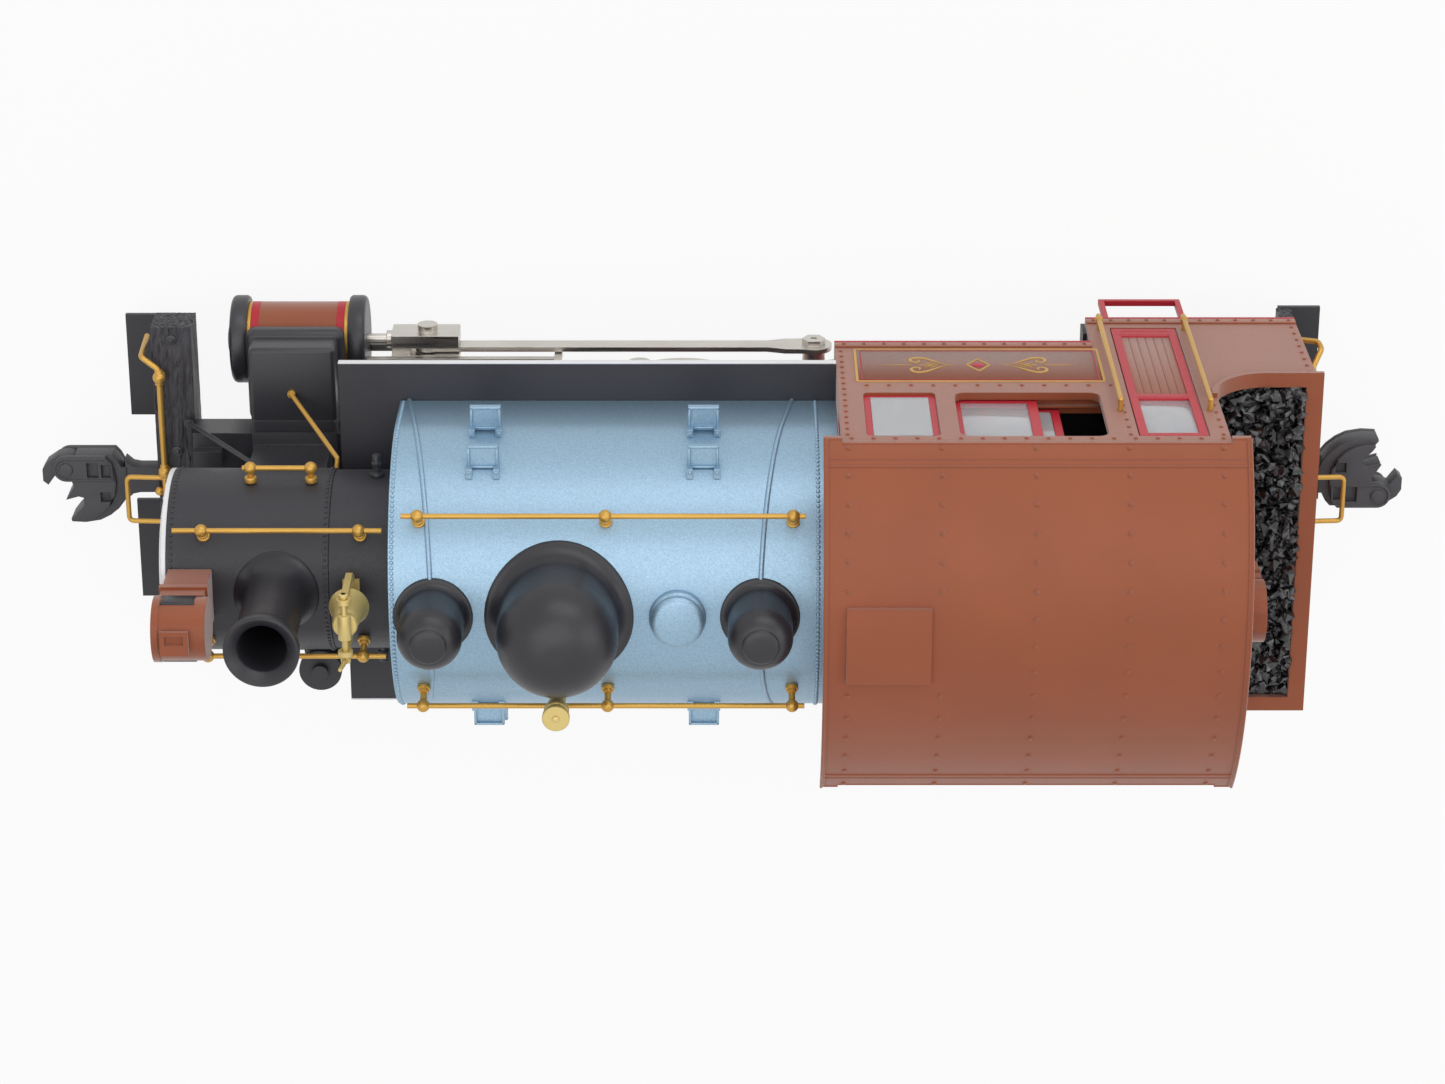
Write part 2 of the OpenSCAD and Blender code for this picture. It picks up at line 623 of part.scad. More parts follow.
module whistle() color(brass) difference() {
    union() {
        zcyl(boiler_z + 20, tank_top + 12.4, 2.2, steam_dome_x - 1, 20.5);
        zcyl(tank_top + 10.4, tank_top + 13.9, 3, steam_dome_x - 1, 20.5);
        zcyl(tank_top + 13.4, tank_top + 20.9, 3.5, steam_dome_x - 1, 20.5);
        zcyl(tank_top + 20.4, tank_top + 22.4, 2.4, steam_dome_x - 1, 20.5);
    }
    tank_core(seat);
    zcyl(boiler_z, 160, 19.1 + 0.1, steam_dome_x, 0);
    box(steam_dome_x - 5, steam_dome_x + 3, 16.5, 18.4, tank_top + 16.4, tank_top + 19.4);
    zcyl(tank_top + 21.6, tank_top + 23.4, 1, steam_dome_x - 1, 20.5);
}
module filler_cap() color(blue) difference() {
    union() {
        zcyl(boiler_z + tank_r - 3, boiler_z + tank_r + 1.4, 7.3, filler_x, 0);
        zcyl(boiler_z + tank_r, boiler_z + tank_r + 4, 6.6, filler_x, 0);
        zcyl(boiler_z + tank_r + 3, boiler_z + tank_r + 4.6, 6.95, filler_x, 0);
    }
    tank_core(seat);
}
module tank_step(x, up, reach) difference() {
    z = boiler_z + up;
    out = sqrt(pow(tank_r, 2) - pow(up, 2)) + reach;
    union() {
        box(x, x + 8, out - 9, out, z - 1, z);
        for (dx = [0, 7]) {
            box(x + dx, x + dx + 1, out - 9, out - 2, z - 3, z - 0.5);
            box(x + dx - 0.3, x + dx + 1.3, out - 12, out - 5.4, z - 0.5, z + 3.4);
        }
    }
    tank_core(seat);
}
module tank_steps() color(blue) both() for (x = [tank_front_x - 27.8, cab_front_x + 30.9]) {
    tank_step(x, 4.5, 6.77);
    tank_step(x, 18.7, 6.07);
}
module stanchion(p, c) {
    translate(p) rotate([0, 0, 90]) sphere(ball_d / 2);
    rod(p, c, 0.85);
}
module handrails() color(gold) {
    both() {
        difference() {
            union() {
                rod([tank_front_x - 3.7, tank_rail[0], tank_rail[1]],
                    [cab_front_x + 8.8, tank_rail[0], tank_rail[1]], rail_d / 2);
                for (x = [tank_front_x - 7.8, (tank_front_x + cab_front_x + 4.2) / 2, cab_front_x + 12])
                    stanchion([x, tank_rail[0], tank_rail[1]], [x, tank_r * 0.5, boiler_z + tank_r * 0.62]);
            }
            tank_core(seat);
        }
        difference() {
            union() {
                rod([smokebox_front_x - 2.3, smoke_rail[0], smoke_rail[1]],
                    [tank_front_x + 2.4, smoke_rail[0], smoke_rail[1]], rail_d / 2);
                for (x = [smokebox_front_x - 9.8, tank_front_x + 8.4])
                    stanchion([x, smoke_rail[0], smoke_rail[1]],
                        [x, smokebox_r * 0.42, boiler_z + smokebox_r * 0.53]);
            }
            smokebox_core(seat);
        }
        for (x = [cab_rear_x + 26, cab_rear_x + 3]) {
            rail_y = cab_half + 3;
            rail_top = sill_z + 13;
            post_z = skirt_bottom + 9;
            rod_path([[x, rail_y, skirt_bottom + 6], [x, rail_y, rail_top], [x, cab_half + seat, rail_top]],
                rail_d / 2);
            rod([x, rail_y, post_z], [x, cab_half + seat, post_z], 0.6);
            translate([x, rail_y, post_z]) sphere(rail_d * 0.75);
        }
    }
    mirror([0, 1, 0]) difference() {
        side_rail = [smokebox_r + 3.6, boiler_z + 4.7];
        union() {
            rod([smokebox_front_x - 18.7, side_rail[0], side_rail[1]],
                [smokebox_front_x - 38.2, side_rail[0], side_rail[1]], rail_d / 2);
            for (x = [smokebox_front_x - 20.8, smokebox_front_x - 36.6])
                stanchion([x, side_rail[0], side_rail[1]], [x, smokebox_r - 6, boiler_z + 2.9]);
        }
        smokebox_core(seat);
    }
}
module brace_rods() color(black) both() difference() {
    union() {
        rod([beam_x + 1.8, smokebox_r - 3.2, beam_top + 1],
            [smokebox_front_x - 24.3, smokebox_r - 2.9, boiler_z - 7.4], 0.65);
        zcyl(beam_top + seat, beam_top + 1.9, 1.2, beam_x + 1.8, smokebox_r - 3.2);
    }
    smokebox_core(seat);
}
module steam_pipes() color(gold) both() difference() {
    foot = [saddle_x[0] + 11.9, deck_half + 12];
    union() {
        rod_path([[foot[0], foot[1], deck_top + 1.8], [seam_x + 0.7, smokebox_r - 2.4, boiler_z - 17.4],
            [seam_x + 1.2, smokebox_r - 7.6, boiler_z - 15.6]], 0.65);
        zcyl(deck_top + 1 + seat, deck_top + 2.2, 1.1, foot[0], foot[1]);
    }
    smokebox_core(seat);
}
module air_pump() color(black) difference() {
    union() {
        zcyl(boiler_z - 23.3, boiler_z + 2.7, 5, pump_x, pump_y);
        for (z = [boiler_z - 23.3, boiler_z - 13.3, boiler_z + 0.7]) zcyl(z, z + 2, 5.7, pump_x, pump_y);
        zcyl(boiler_z + 2.7, boiler_z + 4.7, 2.2, pump_x, pump_y);
        box(pump_x - 2, pump_x + 2, smokebox_r - 6, pump_y - 2, boiler_z - 9.3, boiler_z - 3.3);
        box(pump_x + 0.5, pump_x + 3, smokebox_r - 6, pump_y - 2, boiler_z - 16.8, boiler_z - 14.3);
    }
    smokebox_core(seat);
}

// Cab and bunker
module cab_side() difference() {
    union() {
        polygon([[cab_front_x, cab_bottom], [cab_front_x, ridge_z + 5], [cab_rear_x, ridge_z + 5],
            [cab_rear_x, bunker_top], [bunker_rear_x, bunker_top], [bunker_rear_x, skirt_bottom],
            [step_x, skirt_bottom], [step_x, cab_bottom]]);
        difference() {
            translate([cab_rear_x - swoop_r, bunker_top - 1]) square([swoop_r + 1, swoop_r + 1]);
            translate([cab_rear_x - swoop_r, bunker_top + swoop_r]) circle(swoop_r);
        }
    }
}
module bunker_lip() {
    translate([bunker_rear_x - 1.7, bunker_top - rim_t])
        square([cab_rear_x - swoop_r - bunker_rear_x + 1.8, rim_t]);
    intersection() {
        difference() {
            translate([cab_rear_x - swoop_r, bunker_top + swoop_r]) circle(swoop_r + rim_t);
            translate([cab_rear_x - swoop_r, bunker_top + swoop_r]) circle(swoop_r);
        }
        translate([cab_rear_x - swoop_r, bunker_top - rim_t]) square([swoop_r + rim_t, swoop_r + rim_t]);
    }
}
module side_opening(x, z0, z1, r) translate([x[0], z0]) rounded(x[1] - x[0], z1 - z0, r);
module cab_body() color(brown) difference() {
    union() {
        difference() {
            along_y(-cab_half, cab_half) cab_side();
            box(cab_rear_in, cab_front_in, -cab_in, cab_in, 20, 200);
            box(bunker_rear_x + wall_t, cab_rear_x, -cab_in, cab_in, 20, bunker_floor - 2);
            box(cab_rear_x - 1, cab_rear_in + 1, -cab_in, cab_in, 20, well_top + seat);
            box(bunker_rear_x + rim_w, cab_rear_x, -cab_half + rim_w, cab_half - rim_w, bunker_floor, 200);
            box(bunker_rear_x - 1, bunker_rear_x + rim_w, -cab_half - 1, cab_half + 1, bunker_top, 200);
        }
        both() {
            box(sash_x[0] - 1, sash_x[1] + 2, cab_in - 4.4, cab_in + 0.5, sill_z - 4, sill_z - 1.8);
            box(sash_x[0] - 1, sash_x[1] + 2, cab_in - 2.4, cab_in - 1.8, sill_z - 4, sill_z - 0.4);
            box(sash_x[0] - 1, sash_x[1] + 2, cab_in - 4.4, cab_in + 0.5, head_z + 1.3, head_z + 2.3);
            along_y(cab_half - 0.5, cab_half + rim_lip) bunker_lip();
        }
        box(bunker_rear_x - 1.7, bunker_rear_x + 0.5, -cab_half - rim_lip, cab_half + rim_lip,
            bunker_top - rim_t, bunker_top);
    }
    along_x(bunker_rear_x - 1, cab_front_x + 1) difference() {
        translate([-100, 100]) square([200, 100]);
        translate([0, roof_centre]) circle(roof_under - seat);
    }
    along_y(-cab_half - 1, cab_half + 1) {
        side_opening(win_x, sill_z, head_z, 1.5);
        side_opening(sash_x, sill_z, head_z, 3);
        side_opening(door_x, door_sill, head_z, 0.5);
    }
    both() {
        box(cab_front_x - 9, cab_front_x + 1, front_win_y[0], front_win_y[1], front_win_z[0], front_win_z[1]);
        box(cab_rear_x - 1, cab_rear_in + 1, rear_win_y[0], rear_win_y[1], rear_win_z[0], rear_win_z[1]);
    }
    box(bunker_rear_x - 1, bunker_rear_x + 9, -13, 13, 20, head_top + 3);
}
module cab_roof() color(brown) difference() {
    union() {
        arc_band(roof_rear_x, roof_front_x, roof_r, roof_under, roof_half);
        for (x = [roof_rear_x, roof_front_x - 1.2])
            arc_band(x, x + 1.2, roof_r + 0.35, roof_under, roof_half);
    }
    box(cab_front_x - 19.5, cab_front_x - 4, -7.5, 7.5, ridge_z - 5, ridge_z + 5);
    for (side = [-1, 1]) box(cab_rear_x, cab_front_x, side * cab_half, side * (roof_half + 2), eave_z - 5, ridge_z);
}
module roof_hatch() color(brown)
    arc_band(cab_front_x - 22.5, cab_front_x - 1.2, roof_r + 1.6, roof_r + seat, 10.3);
module frame_ring(x, z0, z1, w, y0, y1) along_y(y0, y1) difference() {
    translate([x[0], z0]) square([x[1] - x[0], z1 - z0]);
    translate([x[0] + w, z0 + w]) square([x[1] - x[0] - 2 * w, z1 - z0 - 2 * w]);
}
module window_frames() color(red) both() {
    difference() {
        frame_ring([win_x[0] + seat, win_x[1] - seat], sill_z + seat, head_z - seat, 1.8, cab_in, cab_half - 0.7);
        along_y(cab_in - 1, cab_half + 1) difference() {
            translate([win_x[0] - 1, sill_z - 1]) square([win_x[1] - win_x[0] + 2, head_z - sill_z + 2]);
            translate([win_x[0] + seat, sill_z + seat])
                rounded(win_x[1] - win_x[0] - 2 * seat, head_z - sill_z - 2 * seat, 1.5);
        }
    }
    frame_ring(fixed_pane_x, fixed_pane_z[0], fixed_pane_z[1], 2.2, fixed_pane_y, fixed_pane_y + 1.1);
    for (x = [cab_front_in + 0.4, cab_front_x - 0.6]) difference() {
        box(x - 0.6, x + 0.6, front_win_y[0] + seat, front_win_y[1] - seat,
            front_win_z[0] + seat, front_win_z[1] - seat);
        box(x - 2, x + 2, front_win_y[0] + 0.8, front_win_y[1] - 0.8, front_win_z[0] + 1, front_win_z[1] - 1);
    }
}
module cab_glazing() color([0.85, 0.9, 0.92]) both() {
    box(win_x[0] + 1.85, win_x[1] - 1.85, cab_in + 0.4, cab_in + 1.4, sill_z + 1.85, head_z - 1.85);
    box(fixed_pane_x[0] + 2.25, fixed_pane_x[1] - 2.25, fixed_pane_y + 0.2, fixed_pane_y + 0.9,
        fixed_pane_z[0] + 2.25, fixed_pane_z[1] - 2.25);
    box(cab_rear_x + 0.5, cab_rear_x + 1.5, rear_win_y[0] + seat, rear_win_y[1] - seat, rear_win_z[0] + seat,
        rear_win_z[1] - seat);
}
module sash(y0) {
    x = [sash_x[1] - 21.5, sash_x[1] + 1];
    frame_ring(x, sill_z - 1.5, head_z + 1, 2.6, y0, y0 + 1.3);
    box(x[0] + 2.65, x[1] - 2.65, y0 + 0.3, y0 + 1, sill_z + 1.15, head_z - 1.65);
}
module left_sash() color(red) sash(cab_in - 1.6);
module right_sash() color(red) mirror([0, 1, 0]) sash(cab_in - 1.6);
module door() {
    g = 0.3;
    x = [door_x[0] + g, door_x[1] - g];
    pane_z = sill_z + 4;
    difference() {
        box(x[0], x[1], cab_in + 0.1, cab_half - 0.1, door_sill + g, head_z - g);
        box(x[0] + 2.2, x[1] - 2.2, cab_in - 1, cab_half + 1, pane_z, head_z - g - 2.2);
        box(x[0] + 2.2, x[1] - 2.2, cab_half - 0.7, cab_half + 1, door_sill + 9, sill_z);
    }
    box(x[0] + 2.25, x[1] - 2.25, cab_in + 0.5, cab_in + 1.3, pane_z + seat, head_z - g - 2.25);
    for (z = [door_sill + 6, head_z - 12]) zcyl(z, z + 5, 0.5, door_x[0] + 0.6, cab_in + 0.4);
}
module left_door() color(red) door();
module right_door() color(red) mirror([0, 1, 0]) door();
module cab_steps() color(red) both() {
    step_ends = [door_x[0] - 3.6, door_x[1] + 0.9];
    step_bottom = skirt_bottom - 17;
    step_bar = 1.5;
    step_y = [cab_half - 1.7, cab_half - 0.2];
    box(step_ends[0], step_ends[1], step_y[0], step_y[1], step_bottom, step_bottom + step_bar);
    for (x = [step_ends[0], step_ends[1] - step_bar])
        box(x, x + step_bar, step_y[0], step_y[1], step_bottom, skirt_bottom - seat);
}
module cab_floor() color(black) difference() {
    union() {
        box(step_x, cab_front_in - seat, -cab_in + seat, cab_in - seat, cab_bottom, floor_top);
        box(step_x - 2, step_x, -cab_in + seat, cab_in - seat, underframe_bottom, floor_top);
        box(cab_rear_in - 2 * wall_t, step_x + 1, -cab_in + seat, cab_in - seat, well_top - 2, well_top);
        box(bunker_rear_x + wall_t + seat, step_x + 1, -cab_in + seat, cab_in - seat,
            underframe_bottom, well_top - 1);
    }
    box(bunker_rear_x, cab_rear_x + 1, -13, 13, underframe_bottom - 1, head_top + 2);
}
module coal_load() color([0.07, 0.07, 0.07]) intersection() {
    box(bunker_rear_x + rim_w + seat, cab_rear_x - seat, -cab_half + rim_w + seat, cab_half - rim_w - seat,
        bunker_floor + seat, bunker_top + 6);
    union() {
        box(bunker_rear_x, cab_rear_x, -cab_half, cab_half, bunker_floor, bunker_top - 3);
        for (i = [0 : 3]) for (j = [0 : 11])
            translate([bunker_rear_x + 7.5 + i * 6.2, -cab_half + 8 + j * 7.2,
                bunker_top - 3 + (i * 7 + j * 5) % 4 * 0.6])
                rotate([(i * 53 + j * 31) % 90, (i * 37 + j * 71) % 90, (i * 17 + j * 43) % 90])
                    cube(6.2, center = true);
    }
}
module backhead() color(black) {
    xcyl(cab_front_in - 10, cab_front_in - seat, barrel_r, 0, boiler_z);
    box(cab_front_in - 10, cab_front_in - seat, -19, 19, floor_top + seat, boiler_z);
    xcyl(cab_front_in - 11.4, cab_front_in - 9, 7.5, 0, boiler_z - 15);
    for (y = [-13, 13]) xcyl(cab_front_in - 12, cab_front_in - 9, 4, y, boiler_z + 10);
}
module lever(handle) {
    ycyl(-37, 37, 0.85);
    both() {
        rod_path([for (p = handle) [p[0], -p[1], p[2]]], 0.75);
        translate([0, -37, 0]) sphere(1.3);
    }
    for (y = lever_posts) translate([0, y, 0]) sphere(1.7);
    translate([1.1, -1, 0.1]) sphere(1.3);
    rod_path([[0.2, -4.2, 0], [10.6, -4.6, -0.6], [10.6, 7.9, -0.6], [0.2, 7.4, 0]], 0.7);
}
module cut_levers() color(gold) {
    lever_z = beam_top + 2.1;
    lever_x = beam_front - 2.1;
    rear_reach = 4.3;
    difference() {
        union() {
            translate([lever_x, 0, lever_z]) lever([[0, 37, 0], [4.7, 40.1, -0.6], [5.1, 40.6, -16]]);
            for (y = lever_posts) zcyl(beam_top + seat, lever_z, 1, lever_x, y);
        }
        box(beam_x, beam_front, -beam_half, beam_half, beam_top - 5, beam_top + seat);
    }
    translate([bunker_rear_x - rear_reach, 0, lever_z]) mirror([1, 0, 0]) {
        lever([[0, 37, 0], [2.8, 41.2, -4], [2.1, 42.2, -7], [-2.6, 42, -9]]);
        for (y = lever_posts) xcyl(seat - rear_reach, 0, 1, y, 0);
    }
}

// Moving pieces
module axle_set(i, long) {
    ycyl(-wheel_face, wheel_face, axle_r, axle_x[i], axle_z);
    for (s = [0, 1]) translate([axle_x[i], (2 * s - 1) * back_to_back / 2, axle_z])
        rotate([s == 0 ? 90 : -90, 0, 0]) {
            rotate_extrude() {
                polygon([[tyre_in_r, 0], [tread_d / 2 + flange_h - 0.5, 0], [tread_d / 2 + flange_h, 0.5],
                    [tread_d / 2 + flange_h, 0.9], [tread_d / 2 + 0.3, 1.6], [tread_d / 2, 2.4],
                    [tread_d / 2 - 0.2, tyre_w - 0.4], [tread_d / 2 - 0.6, tyre_w], [tyre_in_r, tyre_w]]);
            }
            rotate([0, 0, s * 90]) translate([crank_throw, 0, 0]) {
                b = back_to_back / 2;
                translate([0, 0, 3]) cylinder(h = side_rod_out + 0.2 - b - 3, r = pin_r);
                translate([0, 0, side_rod_out + 0.2 - b])
                    cylinder(h = long ? collar_out - side_rod_out - 0.2 : 1.5, r = pin_r + 1.1);
            }
        }
}
module wheel_pair(i) for (s = [0, 1])
    translate([axle_x[i], (2 * s - 1) * back_to_back / 2, axle_z]) rotate([s == 0 ? 90 : -90, 0, s * 0])
        rotate([0, 0, s * 90]) difference() {
            union() {
                translate([0, 0, 0.8]) linear_extrude(tyre_w - 1.6) difference() {
                    circle(tyre_in_r - seat);
                    circle(tyre_in_r - 2.4);
                }
                cylinder(h = tyre_w + 0.4, r = 4.2);
                translate([0, 0, 1.6]) linear_extrude(tyre_w - 3)
                    for (k = [0 : spokes - 1]) rotate(k * 360 / spokes)
                        translate([3, -0.85]) square([tyre_in_r - 4.5, 1.7]);
                translate([crank_throw, 0, 1.2]) cylinder(h = boss_face - back_to_back / 2 - 1.2, r = 3.9);
                translate([0, 0, 1.2]) linear_extrude(tyre_w - 2.2) intersection() {
                    circle(tyre_in_r - 1);
                    translate([-30 - 7.5, -30]) square([30, 60]);
                }
            }
            translate([0, 0, -1]) cylinder(h = 20, r = axle_r + 0.03);
            translate([crank_throw, 0, 2.9]) cylinder(h = 20, r = pin_r + 0.03);
        }
module worm_wheel_solid() difference() {
    ycyl(-2, 2, gear_r + 0.45, axle_x[1], axle_z);
    ycyl(-3, 3, axle_r + 0.03, axle_x[1], axle_z);
    for (k = [0 : gear_teeth - 1]) translate([axle_x[1], 0, axle_z]) rotate([0, (k + 0.5) * 360 / gear_teeth, 0])
        translate([0, 0, gear_r + 0.9]) ycyl(-3, 3, 1.22);
}
module front_axle() color(nickel) axle_set(2, false);
module middle_axle() color(nickel) {
    axle_set(1, false);
    worm_wheel_solid();
}
module rear_axle() color(nickel) axle_set(0, true);
module front_wheels() color(red) wheel_pair(2);
module middle_wheels() color(red) wheel_pair(1);
module rear_wheels() color(red) wheel_pair(0);
module side_rod(dx, dz) {
    z = axle_z + dz;
    along_y(side_rod_in, side_rod_out) difference() {
        union() {
            translate([axle_x[0] + dx, z - side_rod_h / 2]) square([2 * axle_pitch, side_rod_h]);
            for (x = axle_x) translate([x + dx, z]) circle(side_rod_h / 2 + 1.7);
        }
        for (x = axle_x) translate([x + dx, z]) circle(pin_r + run_fit);
    }
}
module right_side_rod() color(nickel) mirror([0, 1, 0]) side_rod(crank_throw, 0);
module left_side_rod() color(nickel) side_rod(0, -crank_throw);
module crosshead(wrist) {
    half = crosshead_len / 2;
    for (y = [[cheek_in, inner_cheek], [outer_cheek, cheek_out]])
        box(wrist - half + 0.5, wrist + half + 0.5, y[0], y[1],
            axle_z - crosshead_h / 2, axle_z + crosshead_h / 2);
    box(wrist + main_rod_h / 2 + 2, wrist + half + 0.5, cheek_in, cheek_out, axle_z - 3.4, axle_z + 3.4);
    ycyl(cheek_in, cheek_out + 1.9, 1.5, wrist, axle_z);
    ycyl(cheek_out - 0.2, cheek_out + 1.9, 2.75, wrist, axle_z);
    xcyl(wrist + half, wrist + half + 2, 2.4, cyl_y, axle_z);
    xcyl(wrist + half, wrist + piston_reach, piston_rod_d / 2, cyl_y, axle_z);
    xcyl(wrist + piston_reach - piston_t / 2, wrist + piston_reach + piston_t / 2,
        bore_d / 2 - run_fit, cyl_y, axle_z);
}
module right_crosshead() color(nickel) mirror([0, 1, 0]) crosshead(wrist_front);
module left_crosshead() color(nickel) crosshead(left_wrist);
module main_rod() {
    along_y(main_rod_in, main_rod_out) difference() {
        union() {
            translate([-main_rod_len, -main_rod_h / 2]) square([main_rod_len, main_rod_h]);
            circle(main_rod_h / 2 + 0.8);
            translate([-main_rod_len, 0]) circle(5);
            polygon([[-main_rod_len, -4.4], [-main_rod_len + 8, -4.2], [-main_rod_len + 13, -main_rod_h / 2],
                [-main_rod_len + 13, main_rod_h / 2], [-main_rod_len + 8, 4.2], [-main_rod_len, 4.4]]);
        }
        circle(1.5 + run_fit);
        translate([-main_rod_len, 0]) circle(pin_r + 0.03);
    }
    ycyl(main_rod_in, main_rod_out + 0.3, pin_r, -main_rod_len, 0);
    difference() {
        translate([-main_rod_len, main_rod_out + seat, 0]) rotate([-90, 0, 0])
            cylinder(h = 1.6, r = 3.2, $fn = 6);
        ycyl(main_rod_out + 1, main_rod_out + 3, 0.9, -main_rod_len, 0);
    }
}
module right_main_rod() color(nickel) mirror([0, 1, 0]) translate([wrist_front, 0, axle_z]) main_rod();
module left_main_rod() color(nickel)
    translate([left_wrist, 0, axle_z]) rotate([0, -rod_lean, 0]) main_rod();

// Couplers
module coupler_head() polygon([[-7, -7.6], [-19.8, -7.6], [-21.2, -6], [-22.3, -3.8], [-23.6, -3.8], [-23.6, 3.8],
    [-22.6, 6], [-20.8, 8.4], [-18.4, 10.4], [-15.5, 11.9], [-11.3, 12.6], [-7.4, 12.4], [-7.2, 11.6], [-9, 9.3],
    [-11.3, 7], [-11.4, 4.6], [-10, 4.2], [-6.4, 5.2], [-8.8, 1.4], [-8.4, -0.2], [-7, -0.2]]);
module coupler() difference() {
    union() {
        translate([0, 0, shank_bottom]) linear_extrude(shank_top - shank_bottom) {
            translate([coupler_pivot_x, 0]) circle(5);
            translate([coupler_pivot_x, -3.8]) square([half_len - 21 - coupler_pivot_x, 7.6]);
        }
        translate([half_len, 0, head_bottom]) linear_extrude(head_top - head_bottom) coupler_head();
        translate([0, 0, head_bottom]) linear_extrude(head_top - head_bottom)
            translate([knuckle_x, knuckle_y]) circle(3.7);
        zcyl(head_bottom, head_top + 0.6, 1.2, knuckle_x, knuckle_y);
        zcyl(head_top - 1, head_top + 0.6, 2, knuckle_x, knuckle_y);
    }
    zcyl(shank_bottom - 1, shank_top + 1, 2.2 + run_fit, coupler_pivot_x, 0);
    translate([0, 0, shank_bottom]) linear_extrude(shank_top - shank_bottom)
        translate([knuckle_x, knuckle_y]) difference() {
            circle(4.3);
            circle(1.2);
        }
    for (x = [[-15.4, -12.4], [-19.4, -16.4]])
        box(half_len + x[0], half_len + x[1], -5.6, -1.2, head_top - 1.4, head_top + 1);
    box(half_len - 19, half_len - 16.4, 3.4, 6.2, head_top - 1, head_top + 1);
}
module knuckle() difference() {
    translate([0, 0, shank_bottom + 0.2]) linear_extrude(shank_top - shank_bottom - 0.4) {
        translate([knuckle_x, knuckle_y]) circle(3.7);
        translate([half_len, 0]) polygon([[-7, -7.6], [-4.4, -7.2], [-1.2, -5], [0, -3], [0, 0.4], [-1.4, 1.6],
            [-3.6, -1.4], [-5.4, -0.6], [-7, -0.2]]);
    }
    zcyl(shank_bottom - 1, shank_top + 1, 1.2 + run_fit, knuckle_x, knuckle_y);
}
module front_coupler() color(black) coupler();
module rear_coupler() color(black) rotate([0, 0, 180]) coupler();
module front_knuckle() color(black) knuckle();
module rear_knuckle() color(black) rotate([0, 0, 180]) knuckle();

main_frame();
keeper_plate();
frame_screws();
buffer_beams();
footboards();
cylinder_saddle();
cylinder_jackets();
cylinder_covers();
guide_bars();
brake_gear();
motor();
running_boards();
smokebox();
smokebox_front();
stack();
headlight_housings();
headlight_lamps();
bell_stand();
boiler_barrel();
saddle_tank();
domes();
whistle();
filler_cap();
tank_steps();
handrails();
brace_rods();
steam_pipes();
air_pump();
cab_body();
cab_roof();
window_frames();
cab_glazing();
cab_steps();
cab_floor();
coal_load();
backhead();
cut_levers();
front_axle();
middle_axle();
rear_axle();
front_wheels();
middle_wheels();
rear_wheels();
worm_shaft();
right_side_rod();
left_side_rod();
right_crosshead();
left_crosshead();
right_main_rod();
left_main_rod();
bell();
front_coupler();
rear_coupler();
front_knuckle();
rear_knuckle();
right_door();
left_door();
right_sash();
left_sash();
roof_hatch();
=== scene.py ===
"""Finishes and small fittings of the saddle tank engine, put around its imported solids."""
import json
import math
import random

import bmesh
import bpy
from mathutils import Matrix, Vector, noise


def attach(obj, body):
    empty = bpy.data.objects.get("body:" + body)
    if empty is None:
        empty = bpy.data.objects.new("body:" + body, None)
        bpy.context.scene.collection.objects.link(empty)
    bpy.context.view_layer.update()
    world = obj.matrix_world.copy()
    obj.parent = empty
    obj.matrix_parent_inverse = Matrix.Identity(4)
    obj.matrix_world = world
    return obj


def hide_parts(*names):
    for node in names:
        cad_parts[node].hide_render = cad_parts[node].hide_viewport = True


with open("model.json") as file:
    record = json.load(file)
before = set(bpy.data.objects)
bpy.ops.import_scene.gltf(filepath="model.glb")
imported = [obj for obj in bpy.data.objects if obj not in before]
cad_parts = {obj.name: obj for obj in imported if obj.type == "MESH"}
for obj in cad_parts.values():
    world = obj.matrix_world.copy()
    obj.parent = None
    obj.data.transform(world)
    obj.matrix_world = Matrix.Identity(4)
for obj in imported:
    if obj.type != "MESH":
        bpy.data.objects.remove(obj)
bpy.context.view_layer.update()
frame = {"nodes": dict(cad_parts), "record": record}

# Sizes of the engine, in millimetres
MM = 0.001
BOILER_Z = 85.3
BARREL_R = 23.6
SMOKEBOX_R = 24.0
SMOKEBOX_FRONT = 144.0
SEAM_X = 102.0
SMOKEBOX_SEAMS = (SEAM_X + 0.9, SMOKEBOX_FRONT - 1.3)
TANK_R = 38.3
TANK_TOP = BOILER_Z + TANK_R
TANK_FRONT = 85.3
TANK_REAR = -29.95
TANK_SEAMS = (TANK_FRONT - 0.9, TANK_REAR + 5.5)
RAIL_LEAN = 37.0
SAND_DOMES = (74.0, -9.6)
SAND_DOME_TOP = 143.0
SAND_DOME_R = 8.3
STEAM_DOME_X = 41.8
STEAM_DOME_TOP = 150.2
STEAM_DOME_R = 15.5
STACK_X = 115.5
STACK_TOP = 146.0
STACK_BORE = 6.2
FILLER_X = 11.5
WHISTLE_X = STEAM_DOME_X + 0.45
WHISTLE_Y = 20.5
WHISTLE_FOOT = 117.4
WHISTLE_TOP = TANK_TOP + 17.7
BELL_X = 96.0
BELL_Z = 130.0
PIPE_R = 0.66
PIPE_LIFT = 0.12
PIPE_START = 9.4
PIPE_LEANS = (0.1548, -0.1584)
VALVE_X = 90.6
VALVE_LEAN = 90.0
BOARD_TOP = 68.5
BOARD_HALF = 48.9
CAB_FRONT = -30.0
CAB_REAR = -128.0
CAB_HALF = 47.6
CAB_BOTTOM = 48.9
SKIRT_BOTTOM = 29.9
STEP_X = -99.0
SILL_Z = 87.4
PANEL_X = (-100.3, -34.9)
PANEL_Z = (54.1, 79.4)
DOOR_X = (-122.7, -105.3)
DOOR_Z = (37.5, 118.3)
HINGE_Z = (45.7, 109.1)
SASH_X = (-81.5, -59.0)
SASH_Z = (85.9, 119.6)
ROOF_R = 71.4
ROOF_CENTRE = 70.5
ROOF_HALF = 48.5
ROOF_FRONT = -25.4
